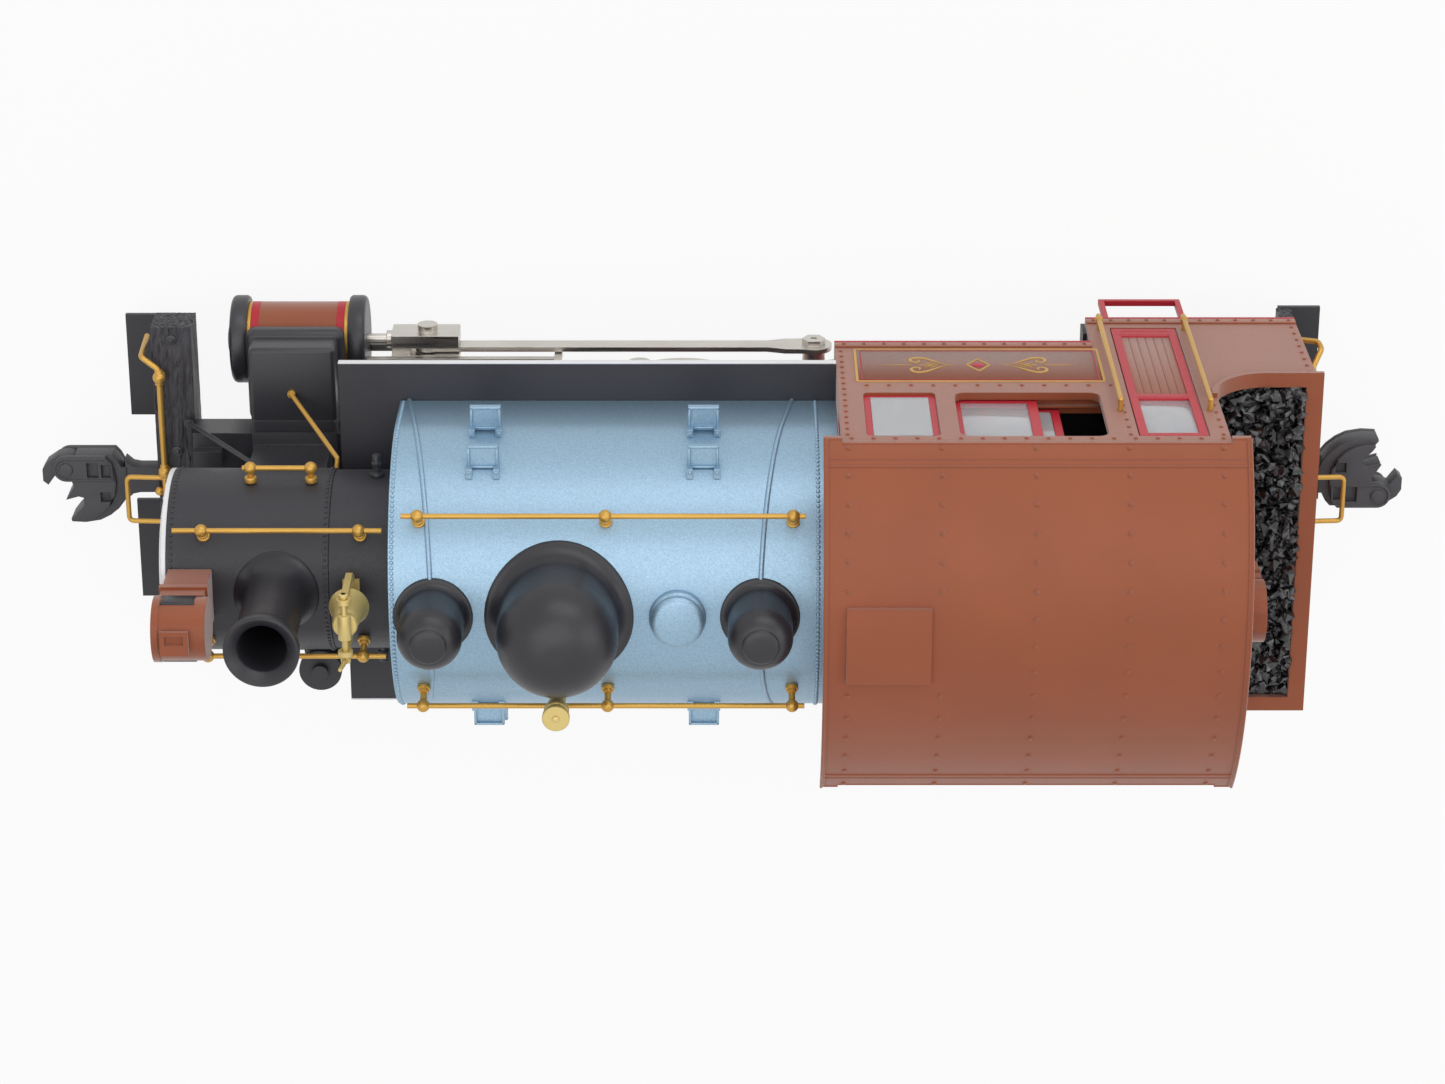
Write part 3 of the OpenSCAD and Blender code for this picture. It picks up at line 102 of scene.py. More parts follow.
ROOF_REAR = -132.8
ROOF_ROWS = (-31.5, -55.0, -78.6, -102.0, -125.6)
EAVE_Z = 122.9
HATCH_HALF = 11.2
HATCH_REAR = -72.0
BUNKER_REAR = -156.1
BUNKER_FLOOR = 60.0
BUNKER_TOP = 76.0
RIM_W = 2.8
AXLE_Z = 20.5
CYLINDER_Y = 38.5
JACKET_R = 10.35
JACKET_X = (102.6, 130.3)
COVER_R = 12.1
ROD_HOLE = 1.6
SADDLE_X = (104.8, 128.1)
DECK_TOP = 45.0
DECK_HALF = 20.0
BEAM_X = 144.4
BEAM_DEPTH = 11.0
BEAM_HALF = 48.0
BEAM_BOTTOM = 25.6
BEAM_TOP = 38.0
REAR_BEAM_X = (-156.8, -152.8)
LEVER_POSTS = (-34.3, -6.6, 8.6, 34.3)
FRONT_LEVER_X = 153.3
REAR_LEVER_X = -160.4
FRONT_HANDLE = ((0.0, 36.6, 0.0), (4.7, 40.1, -0.6), (5.1, 40.6, -16.0))
REAR_HANDLE = ((0.0, 37.0, 0.0), (2.8, 41.2, -4.0), (2.1, 42.2, -7.0), (-2.6, 42.0, -9.0))
HALF_LEN = 189.0
COUPLER_PIVOT = 138.0
COUPLER_LEVELS = (21.5, 23.5, 29.5, 31.5)
HOOK_PIN = (-7.0, -3.9)
LAMP_X = 130.4
LAMP_Z = 131.0
LAMP_R = 8.1

# Radii of rivets and bolts
TANK_RIVET = 0.58
SMOKEBOX_RIVET = 0.46
FRONT_BOLT = 0.75
STEP_RIVET = 0.55
ROOF_RIVET = 0.7
CAB_RIVET = 0.62

# Directions, and the sides of the engine
AHEAD = (1.0, 0.0, 0.0)
ACROSS = (0.0, 1.0, 0.0)
UP = (0.0, 0.0, 1.0)
SIDES = (-1, 1)


# Nodes of a finish
EDGE_SOFTNESS = 0.0003


def start_finish(name):
    finish = bpy.data.materials.new(name)
    finish.use_nodes = True
    tree = finish.node_tree
    shader = tree.nodes["Principled BSDF"]
    return finish, tree, shader


def add(tree, kind, **values):
    made = tree.nodes.new(kind)
    for key, value in values.items():
        setattr(made, key, value)
    return made


def fill_inputs(made, values):
    for key, value in values.items():
        made.inputs[key].default_value = value


def surface_place(tree, stretch=(1.0, 1.0, 1.0)):
    coords = add(tree, "ShaderNodeTexCoord")
    mapping = add(tree, "ShaderNodeMapping")
    fill_inputs(mapping, {"Scale": stretch})
    tree.links.new(coords.outputs["Object"], mapping.inputs["Vector"])
    return mapping.outputs["Vector"]


def cloud(tree, place, scale, detail=3.0, rough=0.5):
    texture = add(tree, "ShaderNodeTexNoise")
    fill_inputs(texture, {"Scale": scale, "Detail": detail, "Roughness": rough})
    tree.links.new(place, texture.inputs["Vector"])
    return texture.outputs["Fac"]


def chips(tree, place, scale):
    cells = add(tree, "ShaderNodeTexVoronoi")
    fill_inputs(cells, {"Scale": scale})
    tree.links.new(place, cells.inputs["Vector"])
    parts = add(tree, "ShaderNodeSeparateColor")
    tree.links.new(cells.outputs["Color"], parts.inputs["Color"])
    return parts.outputs


def spread(tree, value, low, high, start=0.3, end=0.7):
    ranged = add(tree, "ShaderNodeMapRange")
    fill_inputs(ranged, {"From Min": start, "From Max": end, "To Min": low, "To Max": high})
    tree.links.new(value, ranged.inputs["Value"])
    return ranged.outputs["Result"]


def blend_colours(tree, value, first, second):
    share, first_colour, second_colour, result = 0, 6, 7, 2
    mix = add(tree, "ShaderNodeMix", data_type="RGBA")
    fill_inputs(mix, {first_colour: (*first, 1.0), second_colour: (*second, 1.0)})
    tree.links.new(value, mix.inputs[share])
    return mix.outputs[result]


def shade(colour, factor):
    return tuple(min(1.0, part * factor) for part in colour)


def colour_surface(tree, shader, value, colour, dark, pale):
    tone = blend_colours(tree, value, shade(colour, dark), shade(colour, pale))
    tree.links.new(tone, shader.inputs["Base Color"])


def roughen(tree, shader, ranged):
    tree.links.new(ranged, shader.inputs["Roughness"])


def raise_surface(tree, shader, height, strength, depth):
    soft_edge = add(tree, "ShaderNodeBevel", samples=4)
    fill_inputs(soft_edge, {"Radius": EDGE_SOFTNESS})
    bump = add(tree, "ShaderNodeBump")
    fill_inputs(bump, {"Strength": strength, "Distance": depth})
    tree.links.new(soft_edge.outputs["Normal"], bump.inputs["Normal"])
    tree.links.new(height, bump.inputs["Height"])
    tree.links.new(bump.outputs["Normal"], shader.inputs["Normal"])


# Screen colours from 0 to 255, as linear light
def from_screen(red, green, blue):
    def linear(value):
        value /= 255.0
        return value / 12.92 if value <= 0.04045 else ((value + 0.055) / 1.055) ** 2.4
    return (linear(red), linear(green), linear(blue))


# Painted and plated finishes
BLOTCH_SCALE = 45.0
PEEL_SCALE = 1500.0
PEEL_DEPTH = 0.00012
FLAKE_SCALE = 4200.0
FLAKE_DEPTH = 0.0001
BRUSH_SCALE = 900.0
PATCH_SCALE = 60.0
BRUSH_DEPTH = 0.00008
GRAIN_SCALE = 620.0
GRAIN_DEPTH = 0.0009
SMUDGE_SCALE = 160.0
SMUDGE_DEPTH = 0.0001
GRIT_SCALE = 700.0
GRIT_DEPTH = 0.0004
# Cell size of the painted glints on the coal: highlights put into its base colour
PAINTED_GLINT_SCALE = 950.0


def paint(name, colour, rough, metal=0.0, peel=0.12, fleck=0.05, shine=0.35, haze=0.0):
    finish, tree, shader = start_finish(name)
    place = surface_place(tree)
    broad = cloud(tree, place, BLOTCH_SCALE, detail=4.0)
    fine = cloud(tree, place, PEEL_SCALE, detail=2.0)
    colour_surface(tree, shader, spread(tree, broad, 0.0, 1.0), colour, 1 - fleck, 1 + fleck)
    roughen(tree, shader, spread(tree, fine, rough - 0.05, rough + 0.06))
    fill_inputs(shader, {"Metallic": metal, "Specular IOR Level": shine})
    fill_inputs(shader, {"Sheen Weight": haze, "Sheen Roughness": 0.5})
    raise_surface(tree, shader, fine, peel, PEEL_DEPTH)
    return finish


def flake_paint(name, colour):
    finish, tree, shader = start_finish(name)
    parts = chips(tree, surface_place(tree), FLAKE_SCALE)
    colour_surface(tree, shader, parts["Red"], colour, dark=0.88, pale=1.12)
    roughen(tree, shader, spread(tree, parts["Green"], 0.4, 0.54, start=0.0, end=1.0))
    fill_inputs(shader, {"Metallic": 0.75, "Coat Weight": 0.15, "Coat Roughness": 0.25})
    raise_surface(tree, shader, parts["Blue"], 0.1, FLAKE_DEPTH)
    return finish


def plated(name, colour, rough, stretch, metal=1.0):
    finish, tree, shader = start_finish(name)
    lines = cloud(tree, surface_place(tree, stretch), BRUSH_SCALE)
    patches = cloud(tree, surface_place(tree), PATCH_SCALE)
    colour_surface(tree, shader, spread(tree, patches, 0.0, 1.0), colour, dark=0.9, pale=1.06)
    roughen(tree, shader, spread(tree, lines, rough - 0.06, rough + 0.08))
    fill_inputs(shader, {"Metallic": metal})
    raise_surface(tree, shader, lines, 0.1, BRUSH_DEPTH)
    return finish


def grained_wood(name, colour):
    finish, tree, shader = start_finish(name)
    along_beam = surface_place(tree, (1.0, 0.09, 1.0))
    grain = cloud(tree, along_beam, GRAIN_SCALE, detail=6.0, rough=0.62)
    colour_surface(tree, shader, spread(tree, grain, 0.0, 1.0), colour, dark=0.3, pale=1.8)
    roughen(tree, shader, spread(tree, grain, 0.6, 0.36))
    raise_surface(tree, shader, grain, 1.0, GRAIN_DEPTH)
    return finish


def clear_pane(name, tint, rough, clearness):
    finish, tree, shader = start_finish(name)
    smudge = cloud(tree, surface_place(tree), SMUDGE_SCALE, detail=4.0)
    roughen(tree, shader, spread(tree, smudge, rough, rough + 0.08))
    fill_inputs(shader, {"Base Color": (*tint, 1.0), "Transmission Weight": clearness, "IOR": 1.45})
    raise_surface(tree, shader, smudge, 0.02, SMUDGE_DEPTH)
    return finish


def coal_with_painted_glints(name, colour):
    finish, tree, shader = start_finish(name)
    place = surface_place(tree)
    grit = cloud(tree, place, GRIT_SCALE, detail=5.0, rough=0.6)
    # Painted glints: in the Voronoi cells above a threshold, the coal's base colour is lifted up to eleven
    # times, standing in for facets catching the light. The grit bumps and roughness are real surface.
    painted_glints = spread(tree, chips(tree, place, PAINTED_GLINT_SCALE)["Red"], 0.0, 1.0, start=0.62, end=0.98)
    colour_surface(tree, shader, painted_glints, colour, dark=0.5, pale=11.0)
    roughen(tree, shader, spread(tree, grit, 0.1, 0.3))
    fill_inputs(shader, {"Specular IOR Level": 0.6, "Coat Weight": 0.3, "Coat Roughness": 0.12})
    raise_surface(tree, shader, grit, 0.35, GRIT_DEPTH)
    return finish


BLACK = from_screen(45, 44, 50)
BROWN = from_screen(152, 77, 41)
BLUE = from_screen(150, 179, 200)
RED = from_screen(190, 40, 54)
GOLD = from_screen(205, 160, 78)
BRASS = from_screen(222, 198, 128)
NICKEL = from_screen(205, 200, 193)
SILVER = from_screen(240, 240, 241)
STEEL = from_screen(165, 165, 165)
STAINED_WOOD = from_screen(58, 56, 61)
COAL = from_screen(24, 24, 26)
CAST_GREY = from_screen(76, 75, 79)
LAMP_TINT = (0.97, 0.97, 0.94)
WINDOW_TINT = (0.86, 0.87, 0.9)
BRUSHED_ALONG = (0.06, 1.0, 1.0)
BRUSHED_UP = (1.0, 1.0, 0.2)

FINISHES = {
    "black_metal": paint("satin_black_metal", BLACK, 0.38, shine=0.55, haze=0.05),
    "black_plastic": paint("black_moulding", BLACK, 0.5, peel=0.2, shine=0.5, haze=0.04),
    "black_gloss": paint("smooth_black", shade(BLACK, 0.85), 0.38, peel=0.08, shine=0.5),
    "beam_wood": grained_wood("black_stained_wood", STAINED_WOOD),
    "brown_paint": paint("brown_body_paint", BROWN, 0.45, peel=0.1, shine=0.4, haze=0.5),
    "tank_blue": flake_paint("blue_tank_metallic", BLUE),
    "red_paint": paint("red_trim_paint", RED, 0.4),
    "gold_paint": paint("gold_fittings_paint", GOLD, 0.36, metal=0.55),
    "brass": plated("satin_brass", BRASS, 0.42, BRUSHED_UP, metal=0.35),
    "nickel": plated("nickel_motion", NICKEL, 0.32, BRUSHED_ALONG),
    "silver_paint": paint("silver_front_paint", SILVER, 0.4, metal=0.1),
    "motor_steel": plated("motor_can_steel", STEEL, 0.35, BRUSHED_ALONG),
    "lamp_clear": clear_pane("lamp_lens", LAMP_TINT, rough=0.05, clearness=0.9),
    "window_clear": clear_pane("window_pane", WINDOW_TINT, rough=0.04, clearness=0.62),
    "coal": coal_with_painted_glints("coal_with_painted_glints", COAL),
}

FIELD_FINISH = paint("brown_panel_paint", shade(BROWN, 0.72), 0.42, peel=0.1, haze=0.35)
COUPLER_FINISH = paint("grey_black_coupler", CAST_GREY, 0.5, peel=0.2)

for part in frame["record"]["subparts"]:
    node = frame["nodes"][part["node"]]
    finish = FINISHES[part["material_slot"]]
    if not node.material_slots:
        node.data.materials.append(finish)
    for held in node.material_slots:
        held.material = finish


# Shapes shared by the pieces, in millimetres until add_piece brings them to metres
MERGE_GAP = 0.001
RIVET_RISE = 0.8
SQUARE_EDGE = 1.2
LEVEL_GAP = 0.01
SHARP_ANGLE = math.radians(40.0)
BEND_STEPS = 6


def bevel_sides(shape, sides, offset, segments):
    bmesh.ops.bevel(
        shape, geom=sides, offset=offset, segments=segments, profile=0.5, affect="EDGES", material=-1
    )


def box_pose(low, high):
    size = [end - start for start, end in zip(low, high)]
    centre = [(start + end) / 2 for start, end in zip(low, high)]
    return Matrix.Translation(centre) @ Matrix.Diagonal((*size, 1.0))


def edges_of(corners):
    return list({side for corner in corners for side in corner.link_edges})


def block(shape, low, high, edge=0.0, segments=2):
    made = bmesh.ops.create_cube(shape, size=1.0, matrix=box_pose(low, high))
    if edge > 0.0:
        bevel_sides(shape, edges_of(made["verts"]), edge, segments)


def side_block(shape, side, along, across, up, edge=0.0, segments=2):
    ends = sorted((across[0] * side, across[1] * side))
    block(shape, (along[0], ends[0], up[0]), (along[1], ends[1], up[1]), edge, segments)


def facing(out):
    return Vector(UP).rotation_difference(Vector(out)).to_matrix().to_4x4()


def leaning(side, degrees):
    lean = math.radians(degrees)
    return Vector((0.0, side * math.sin(lean), math.cos(lean)))


def rivet(shape, place, out, radius):
    pose = Matrix.Translation(place) @ facing(out) @ Matrix.Diagonal((1.0, 1.0, RIVET_RISE, 1.0))
    bmesh.ops.create_uvsphere(shape, u_segments=8, v_segments=4, radius=radius, matrix=pose)


def ball(shape, place, radius):
    pose = Matrix.Translation(place)
    bmesh.ops.create_uvsphere(shape, u_segments=24, v_segments=12, radius=radius, matrix=pose)


def disc(shape, place, out, radius, height, sides=20, edge=0.0):
    pose = Matrix.Translation(place) @ facing(out)
    made = bmesh.ops.create_cone(
        shape, cap_ends=True, segments=sides, radius1=radius, radius2=radius, depth=height, matrix=pose
    )
    if edge > 0.0:
        quad = 4
        touched = edges_of(made["verts"])
        rims = [side for side in touched if any(len(face.verts) > quad for face in side.link_faces)]
        bevel_sides(shape, rims, edge, segments=2)


def arc_row(x, centre, radius, half_turn, count):
    for step in range(count):
        lean = half_turn * (2 * step / (count - 1) - 1)
        out = (0.0, math.sin(lean), math.cos(lean))
        yield (x, radius * out[1], centre + radius * out[2]), out


def line_row(start, end, pitch):
    span = Vector(end) - Vector(start)
    count = max(1, round(span.length / pitch))
    return [Vector(start) + span * step / count for step in range(count + 1)]


def arc(centre, radius, first, last, steps=8):
    turns = [math.radians(first + (last - first) * step / steps) for step in range(steps + 1)]
    return [(centre[0] + radius * math.cos(turn), centre[1] + radius * math.sin(turn)) for turn in turns]


def rounded_loop(low, high, corner):
    middles = (
        (high[0] - corner, high[1] - corner, 0.0),
        (low[0] + corner, high[1] - corner, 90.0),
        (low[0] + corner, low[1] + corner, 180.0),
        (high[0] - corner, low[1] + corner, 270.0),
    )
    points = []
    for x, z, start in middles:
        points += arc((x, z), corner, start, start + 90.0, steps=5)
    return points


def closed_loop(shape, places):
    corners = [shape.verts.new(place) for place in places]
    return [shape.edges.new(pair) for pair in zip(corners, corners[1:] + corners[:1])]


def thicken(shape, faces, move):
    grown = bmesh.ops.extrude_face_region(shape, geom=faces, use_keep_orig=True)
    moved = [item for item in grown["geom"] if isinstance(item, bmesh.types.BMVert)]
    bmesh.ops.translate(shape, vec=move, verts=moved)
    walls = {face for corner in moved for face in corner.link_faces} | set(faces)
    bmesh.ops.recalc_face_normals(shape, faces=list(walls))
    return {side for face in walls for side in face.edges}


def frame_plate(shape, low, high, width, corner):
    inner_corner = max(corner - width, corner * 0.4)
    outer = rounded_loop((low[0], low[2]), (high[0], high[2]), corner)
    inner = rounded_loop((low[0] + width, low[2] + width), (high[0] - width, high[2] - width), inner_corner)
    sides = []
    for loop in (outer, inner):
        sides += closed_loop(shape, [(x, low[1], z) for x, z in loop])
    ring = bmesh.ops.bridge_loops(shape, edges=sides)["faces"]
    thicken(shape, ring, (0.0, high[1] - low[1], 0.0))


def tube(shape, points, widths, kind="NURBS", around=1):
    curve = bpy.data.curves.new("tube", "CURVE")
    curve.dimensions = "3D"
    curve.bevel_depth = 1.0
    curve.bevel_resolution = around
    curve.use_fill_caps = True
    spline = curve.splines.new(kind)
    spline.points.add(len(points) - 1)
    for knot, place, width in zip(spline.points, points, widths):
        knot.co = (*place, 1.0)
        knot.radius = width
    if kind == "NURBS":
        spline.order_u = min(4, len(points))
        spline.use_endpoint_u = True
        spline.resolution_u = 5
    holder = bpy.data.objects.new("tube", curve)
    shape.from_mesh(holder.to_mesh())
    holder.to_mesh_clear()
    bpy.data.objects.remove(holder)
    bpy.data.curves.remove(curve)


def wire(shape, points, radius, around=3):
    tube(shape, points, [radius] * len(points), "POLY", around)


def bent_rod(shape, points, radius, bend):
    knots = [Vector(place) for place in points]
    path = [knots[0]]
    for before, corner, after in zip(knots, knots[1:], knots[2:]):
        start = corner + (before - corner).normalized() * bend
        end = corner + (after - corner).normalized() * bend
        for step in range(BEND_STEPS + 1):
            share = step / BEND_STEPS
            path.append(start * (1 - share) ** 2 + corner * 2 * share * (1 - share) + end * share ** 2)
    path.append(knots[-1])
    wire(shape, path, radius)


def eased(points, steps):
    knots = [Vector(point) for point in points]
    ends = [knots[0]] + knots + [knots[-1]]
    path = []
    for before, start, end, after in zip(ends, ends[1:], ends[2:], ends[3:]):
        pull = 2 * before - 5 * start + 4 * end - after
        twist = 3 * (start - end) + after - before
        for step in range(steps):
            t = step / steps
            path.append(start + 0.5 * t * (end - before + t * (pull + t * twist)))
    path.append(knots[-1])
    return [(point[0], point[1]) for point in path]


def raised(profile, level):
    return [(radius, level + height) for radius, height in profile]


def turned(shape, profile, place, sides=72, along=UP):
    pose = Matrix.Translation(place) @ facing(along)
    known = set(shape.verts)
    corners = [shape.verts.new((radius, 0.0, height)) for radius, height in profile]
    lines = [shape.edges.new(pair) for pair in zip(corners, corners[1:])]
    bmesh.ops.spin(
        shape, geom=corners + lines, cent=(0.0, 0.0, 0.0), axis=UP,
        angle=math.tau, steps=sides, use_merge=True,
    )
    made = [corner for corner in shape.verts if corner not in known]
    bmesh.ops.remove_doubles(shape, verts=made, dist=MERGE_GAP)
    made = [corner for corner in shape.verts if corner not in known]
    bmesh.ops.transform(shape, matrix=pose, verts=made)
    return made


def sit_on_drum(corners, drum_r, low, high):
    widest = drum_r * 0.98
    for corner in corners:
        share = min(1.0, max(0.0, (high - corner.co.z) / (high - low)))
        reach = min(abs(corner.co.y), widest)
        corner.co.z -= share * share * (3 - 2 * share) * (drum_r - math.sqrt(drum_r ** 2 - reach ** 2))


def ring_band(shape, along, across, up, radius, thick):
    known = set(shape.faces)
    pose = Matrix.Translation(((along[0] + along[1]) / 2, across, up)) @ facing(AHEAD)
    length = along[1] - along[0]
    bmesh.ops.create_cone(
        shape, cap_ends=False, segments=72, radius1=radius, radius2=radius, depth=length, matrix=pose
    )
    wall = [face for face in shape.faces if face not in known]
    bmesh.ops.recalc_face_normals(shape, faces=wall)
    bmesh.ops.solidify(shape, geom=wall, thickness=thick)


def add_piece(name, shape, slot, body="chassis", stands_for=(), smooth=True, finish=None):
    bmesh.ops.recalc_face_normals(shape, faces=shape.faces)
    bmesh.ops.scale(shape, vec=(MM, MM, MM), verts=shape.verts)
    mesh = bpy.data.meshes.new(name)
    shape.to_mesh(mesh)
    shape.free()
    mesh.materials.append(finish or FINISHES[slot])
    if smooth:
        mesh.shade_smooth()
        mesh.set_sharp_from_angle(angle=SHARP_ANGLE)
    piece = bpy.data.objects.new(name, mesh)
    bpy.context.scene.collection.objects.link(piece)
    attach(piece, body)
    if stands_for:
        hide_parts(*stands_for)


# Rivets and rail collars of tank and smokebox
def rivet_tank():
    shape = bmesh.new()
    foot_z = BOARD_TOP + 1.0
    top_z = BOILER_Z - 1.3
    for x in TANK_SEAMS:
        for place, out in arc_row(x, BOILER_Z, TANK_R, math.radians(90.0), count=90):
            rivet(shape, place, out, TANK_RIVET)
        for side in SIDES:
            wall = side * TANK_R
            for place in line_row((x, wall, foot_z), (x, wall, top_z), pitch=1.34):
                rivet(shape, place, (0.0, side, 0.0), TANK_RIVET)
    add_piece("tank_rivets", shape, "tank_blue")


def rivet_smokebox():
    shape = bmesh.new()
    for x in SMOKEBOX_SEAMS:
        for place, out in arc_row(x, BOILER_Z, SMOKEBOX_R, math.radians(112.0), count=58):
            rivet(shape, place, out, SMOKEBOX_RIVET)
    add_piece("smokebox_rivets", shape, "black_metal")


def bolt_smokebox_front():
    shape = bmesh.new()
    face = SMOKEBOX_FRONT + 1.3
    circle = SMOKEBOX_R - 1.8
    for place, out in arc_row(face, BOILER_Z, circle, math.radians(172.5), count=24):
        rivet(shape, place, AHEAD, FRONT_BOLT)
    add_piece("smokebox_front_bolts", shape, "silver_paint")


def rim_tank_steps():
    shape = bmesh.new()
    starts = (TANK_FRONT - 27.8, CAB_FRONT + 30.9)
    heights_and_reaches = ((4.5, 6.77), (18.7, 6.07))
    length = 8.0
    skin = 0.02
    rim = 0.7
    for side in SIDES:
        for start in starts:
            for height, reach in heights_and_reaches:
                level = BOILER_Z + height
                out = math.sqrt(TANK_R ** 2 - height ** 2) + reach
                far = start + length
                whole = (start + skin, far - skin)
                ends = ((start + skin, start + rim), (far - rim, far - skin))
                rims = [(whole, (out - rim, out - skin))]
                rims += [(along, (out - 5.9, out - 0.2)) for along in ends]
                rims.append((whole, (out - 6.1, out - 5.5)))
                for along, across in rims:
                    side_block(shape, side, along, across, (level - 0.4, level + 0.9), edge=0.15)
                for x in (start + 0.5, far - 0.5):
                    rivet(shape, (x, side * (out - 6.4), level + 3.4), UP, STEP_RIVET)
    add_piece("tank_step_rims", shape, "tank_blue")


def collar_rail_posts():
    shape = bmesh.new()
    tank_posts = (TANK_FRONT - 7.8, (TANK_FRONT + CAB_FRONT + 4.2) / 2, CAB_FRONT + 12.0)
    smokebox_posts = (SMOKEBOX_FRONT - 9.8, TANK_FRONT + 8.4)
    side_posts = (SMOKEBOX_FRONT - 20.8, SMOKEBOX_FRONT - 36.6)
    for side in SIDES:
        out = leaning(side, RAIL_LEAN)
        for posts, radius in ((tank_posts, TANK_R), (smokebox_posts, SMOKEBOX_R)):
            for x in posts:
                base = Vector((x, 0.0, BOILER_Z)) + out * radius
                disc(shape, base + out * 0.55, out, radius=1.7, height=1.1, edge=0.2)
                disc(shape, base + out * 1.5, out, radius=1.25, height=0.9, edge=0.2)
    for x in side_posts:
        foot = (x, -SMOKEBOX_R - 0.4, BOILER_Z + 4.6)
        disc(shape, foot, (0.0, -1.0, 0.0), radius=1.6, height=1.6, edge=0.2)
    add_piece("rail_post_collars", shape, "gold_paint")


# Domes, chimney, filler, whistle and bell, turned smooth
FLANGE_TOP = 0.8


def turn_dome(shape, x, crown, barrel_r, flare, flange_r, blend, sides):
    flare_middle = (barrel_r + flare, TANK_TOP + FLANGE_TOP + flare)
    flange = ((flange_r - 0.1, 0.7), (flange_r, 0.4), (flange_r, -0.9), (0.0, -0.9))
    profile = crown + arc(flare_middle, flare, 180.0, 270.0) + raised(flange, TANK_TOP)
    corners = turned(shape, profile, (x, 0.0, 0.0), sides)
    sit_on_drum(corners, TANK_R, TANK_TOP + FLANGE_TOP, TANK_TOP + blend)


def turn_domes():
    shape = bmesh.new()
    shoulder = 6.4
    middle = (SAND_DOME_R - shoulder, SAND_DOME_TOP - shoulder)
    lid = ((0.0, 0.35), (2.6, 0.28), (4.2, 0.02), (4.62, -0.3), (4.72, -0.72))
    crown = raised(lid, SAND_DOME_TOP) + arc(middle, shoulder, 61.0, 0.0)
    for x in SAND_DOMES:
        turn_dome(shape, x, crown, SAND_DOME_R, flare=1.8, flange_r=10.25, blend=6.0, sides=72)
    shoulder = 13.6
    middle = (STEAM_DOME_R - shoulder, STEAM_DOME_TOP - shoulder)
    crown = [(0.0, STEAM_DOME_TOP)] + arc(middle, shoulder, 90.0, 0.0, steps=16)
    turn_dome(shape, STEAM_DOME_X, crown, STEAM_DOME_R, flare=3.4, flange_r=19.1, blend=11.0, sides=96)
    add_piece("dome_turnings", shape, "black_gloss", stands_for=("domes",))


def turn_stack():
    shape = bmesh.new()
    foot = BOILER_Z + SMOKEBOX_R
    low_part = ((11.2, -0.4), (10.9, 0.4), (9.6, 1.6), (8.4, 3.6), (7.85, 7.0), (7.75, 14.0))
    high_part = ((7.8, -9.0), (8.0, -6.4), (8.6, -4.8), (9.4, -3.4), (9.6, -2.0), (9.6, -0.5))
    lip = ((9.35, -0.1), (9.05, 0.0), (8.8, -0.15), (STACK_BORE + 0.3, -2.5), (STACK_BORE, -2.9))
    outside = raised(low_part, foot) + raised(high_part, STACK_TOP)
    base = raised(((STACK_BORE, -1.6), (11.2, -1.6)), foot)
    profile = base[1:] + eased(outside, steps=5) + raised(lip, STACK_TOP) + base
    corners = turned(shape, profile, (STACK_X, 0.0, 0.0), sides=84)
    sit_on_drum(corners, SMOKEBOX_R, foot + 0.4, foot + 6.0)
    add_piece("stack_turning", shape, "black_gloss", stands_for=("stack",))


def turn_filler():
    shape = bmesh.new()
    lid = [
        (0.0, 4.6), (5.4, 4.5), (6.1, 4.25), (6.75, 3.6), (6.95, 3.1), (6.9, 2.7), (6.6, 2.5), (6.55, 1.6),
        (7.1, 1.4), (7.3, 1.1), (7.3, -1.4), (0.0, -1.4),
    ]
    turned(shape, raised(lid, TANK_TOP), (FILLER_X, 0.0, 0.0), sides=64)
    add_piece("filler_turning", shape, "tank_blue", stands_for=("filler_cap",))


def turn_whistle():
    shape = bmesh.new()
    body = [
        (2.2, -6.2), (3.0, -5.8), (3.25, -5.0), (3.25, -3.0), (2.8, -2.9), (2.8, -1.6), (3.5, -1.4),
        (3.55, -0.3), (3.35, 0.0), (0.95, 0.0), (0.9, 0.35), (0.6, 0.6), (0.0, 0.65),
    ]
    profile = [(0.0, WHISTLE_FOOT), (2.2, WHISTLE_FOOT)] + raised(body, WHISTLE_TOP)
    turned(shape, profile, (WHISTLE_X, WHISTLE_Y, 0.0), sides=48)
    add_piece("whistle_casting", shape, "brass", stands_for=("whistle",))


def cast_bell():
    shape = bmesh.new()
    outside = [
        (2.9, -0.7), (3.25, -1.2), (3.15, -1.9), (2.95, -2.5), (3.35, -3.9), (3.75, -7.0),
        (4.25, -10.0), (4.9, -12.1), (5.2, -12.8),
    ]
    inside = [(4.5, -13.1), (3.9, -10.8), (3.2, -8.0), (2.8, -4.6)]
    profile = [(0.0, -0.5)] + eased(outside, steps=4) + [(5.1, -13.15)]
    profile += eased(inside, steps=3) + [(0.0, -4.2)]
    turned(shape, profile, (BELL_X, 0.0, BELL_Z), sides=56)
    axle_steps = ((-9.2, 9.8, 0.8), (-9.2, -8.2, 1.3), (8.2, 9.8, 1.3), (-3.4, 3.4, 1.7))
    for start, end, radius in axle_steps:
        middle = (BELL_X, (start + end) / 2, BELL_Z)
        disc(shape, middle, ACROSS, radius, end - start, sides=24, edge=0.18)
    arm_steps = ((0.0, 0.0), (0.4, 4.0), (0.9, 6.7))
    arm = [(BELL_X + ahead, 9.0, BELL_Z + height) for ahead, height in arm_steps]
    tube(shape, arm, (0.75, 0.62, 0.5), "NURBS", around=3)
    add_piece("bell_casting", shape, "brass", "bell_body", ("bell",))


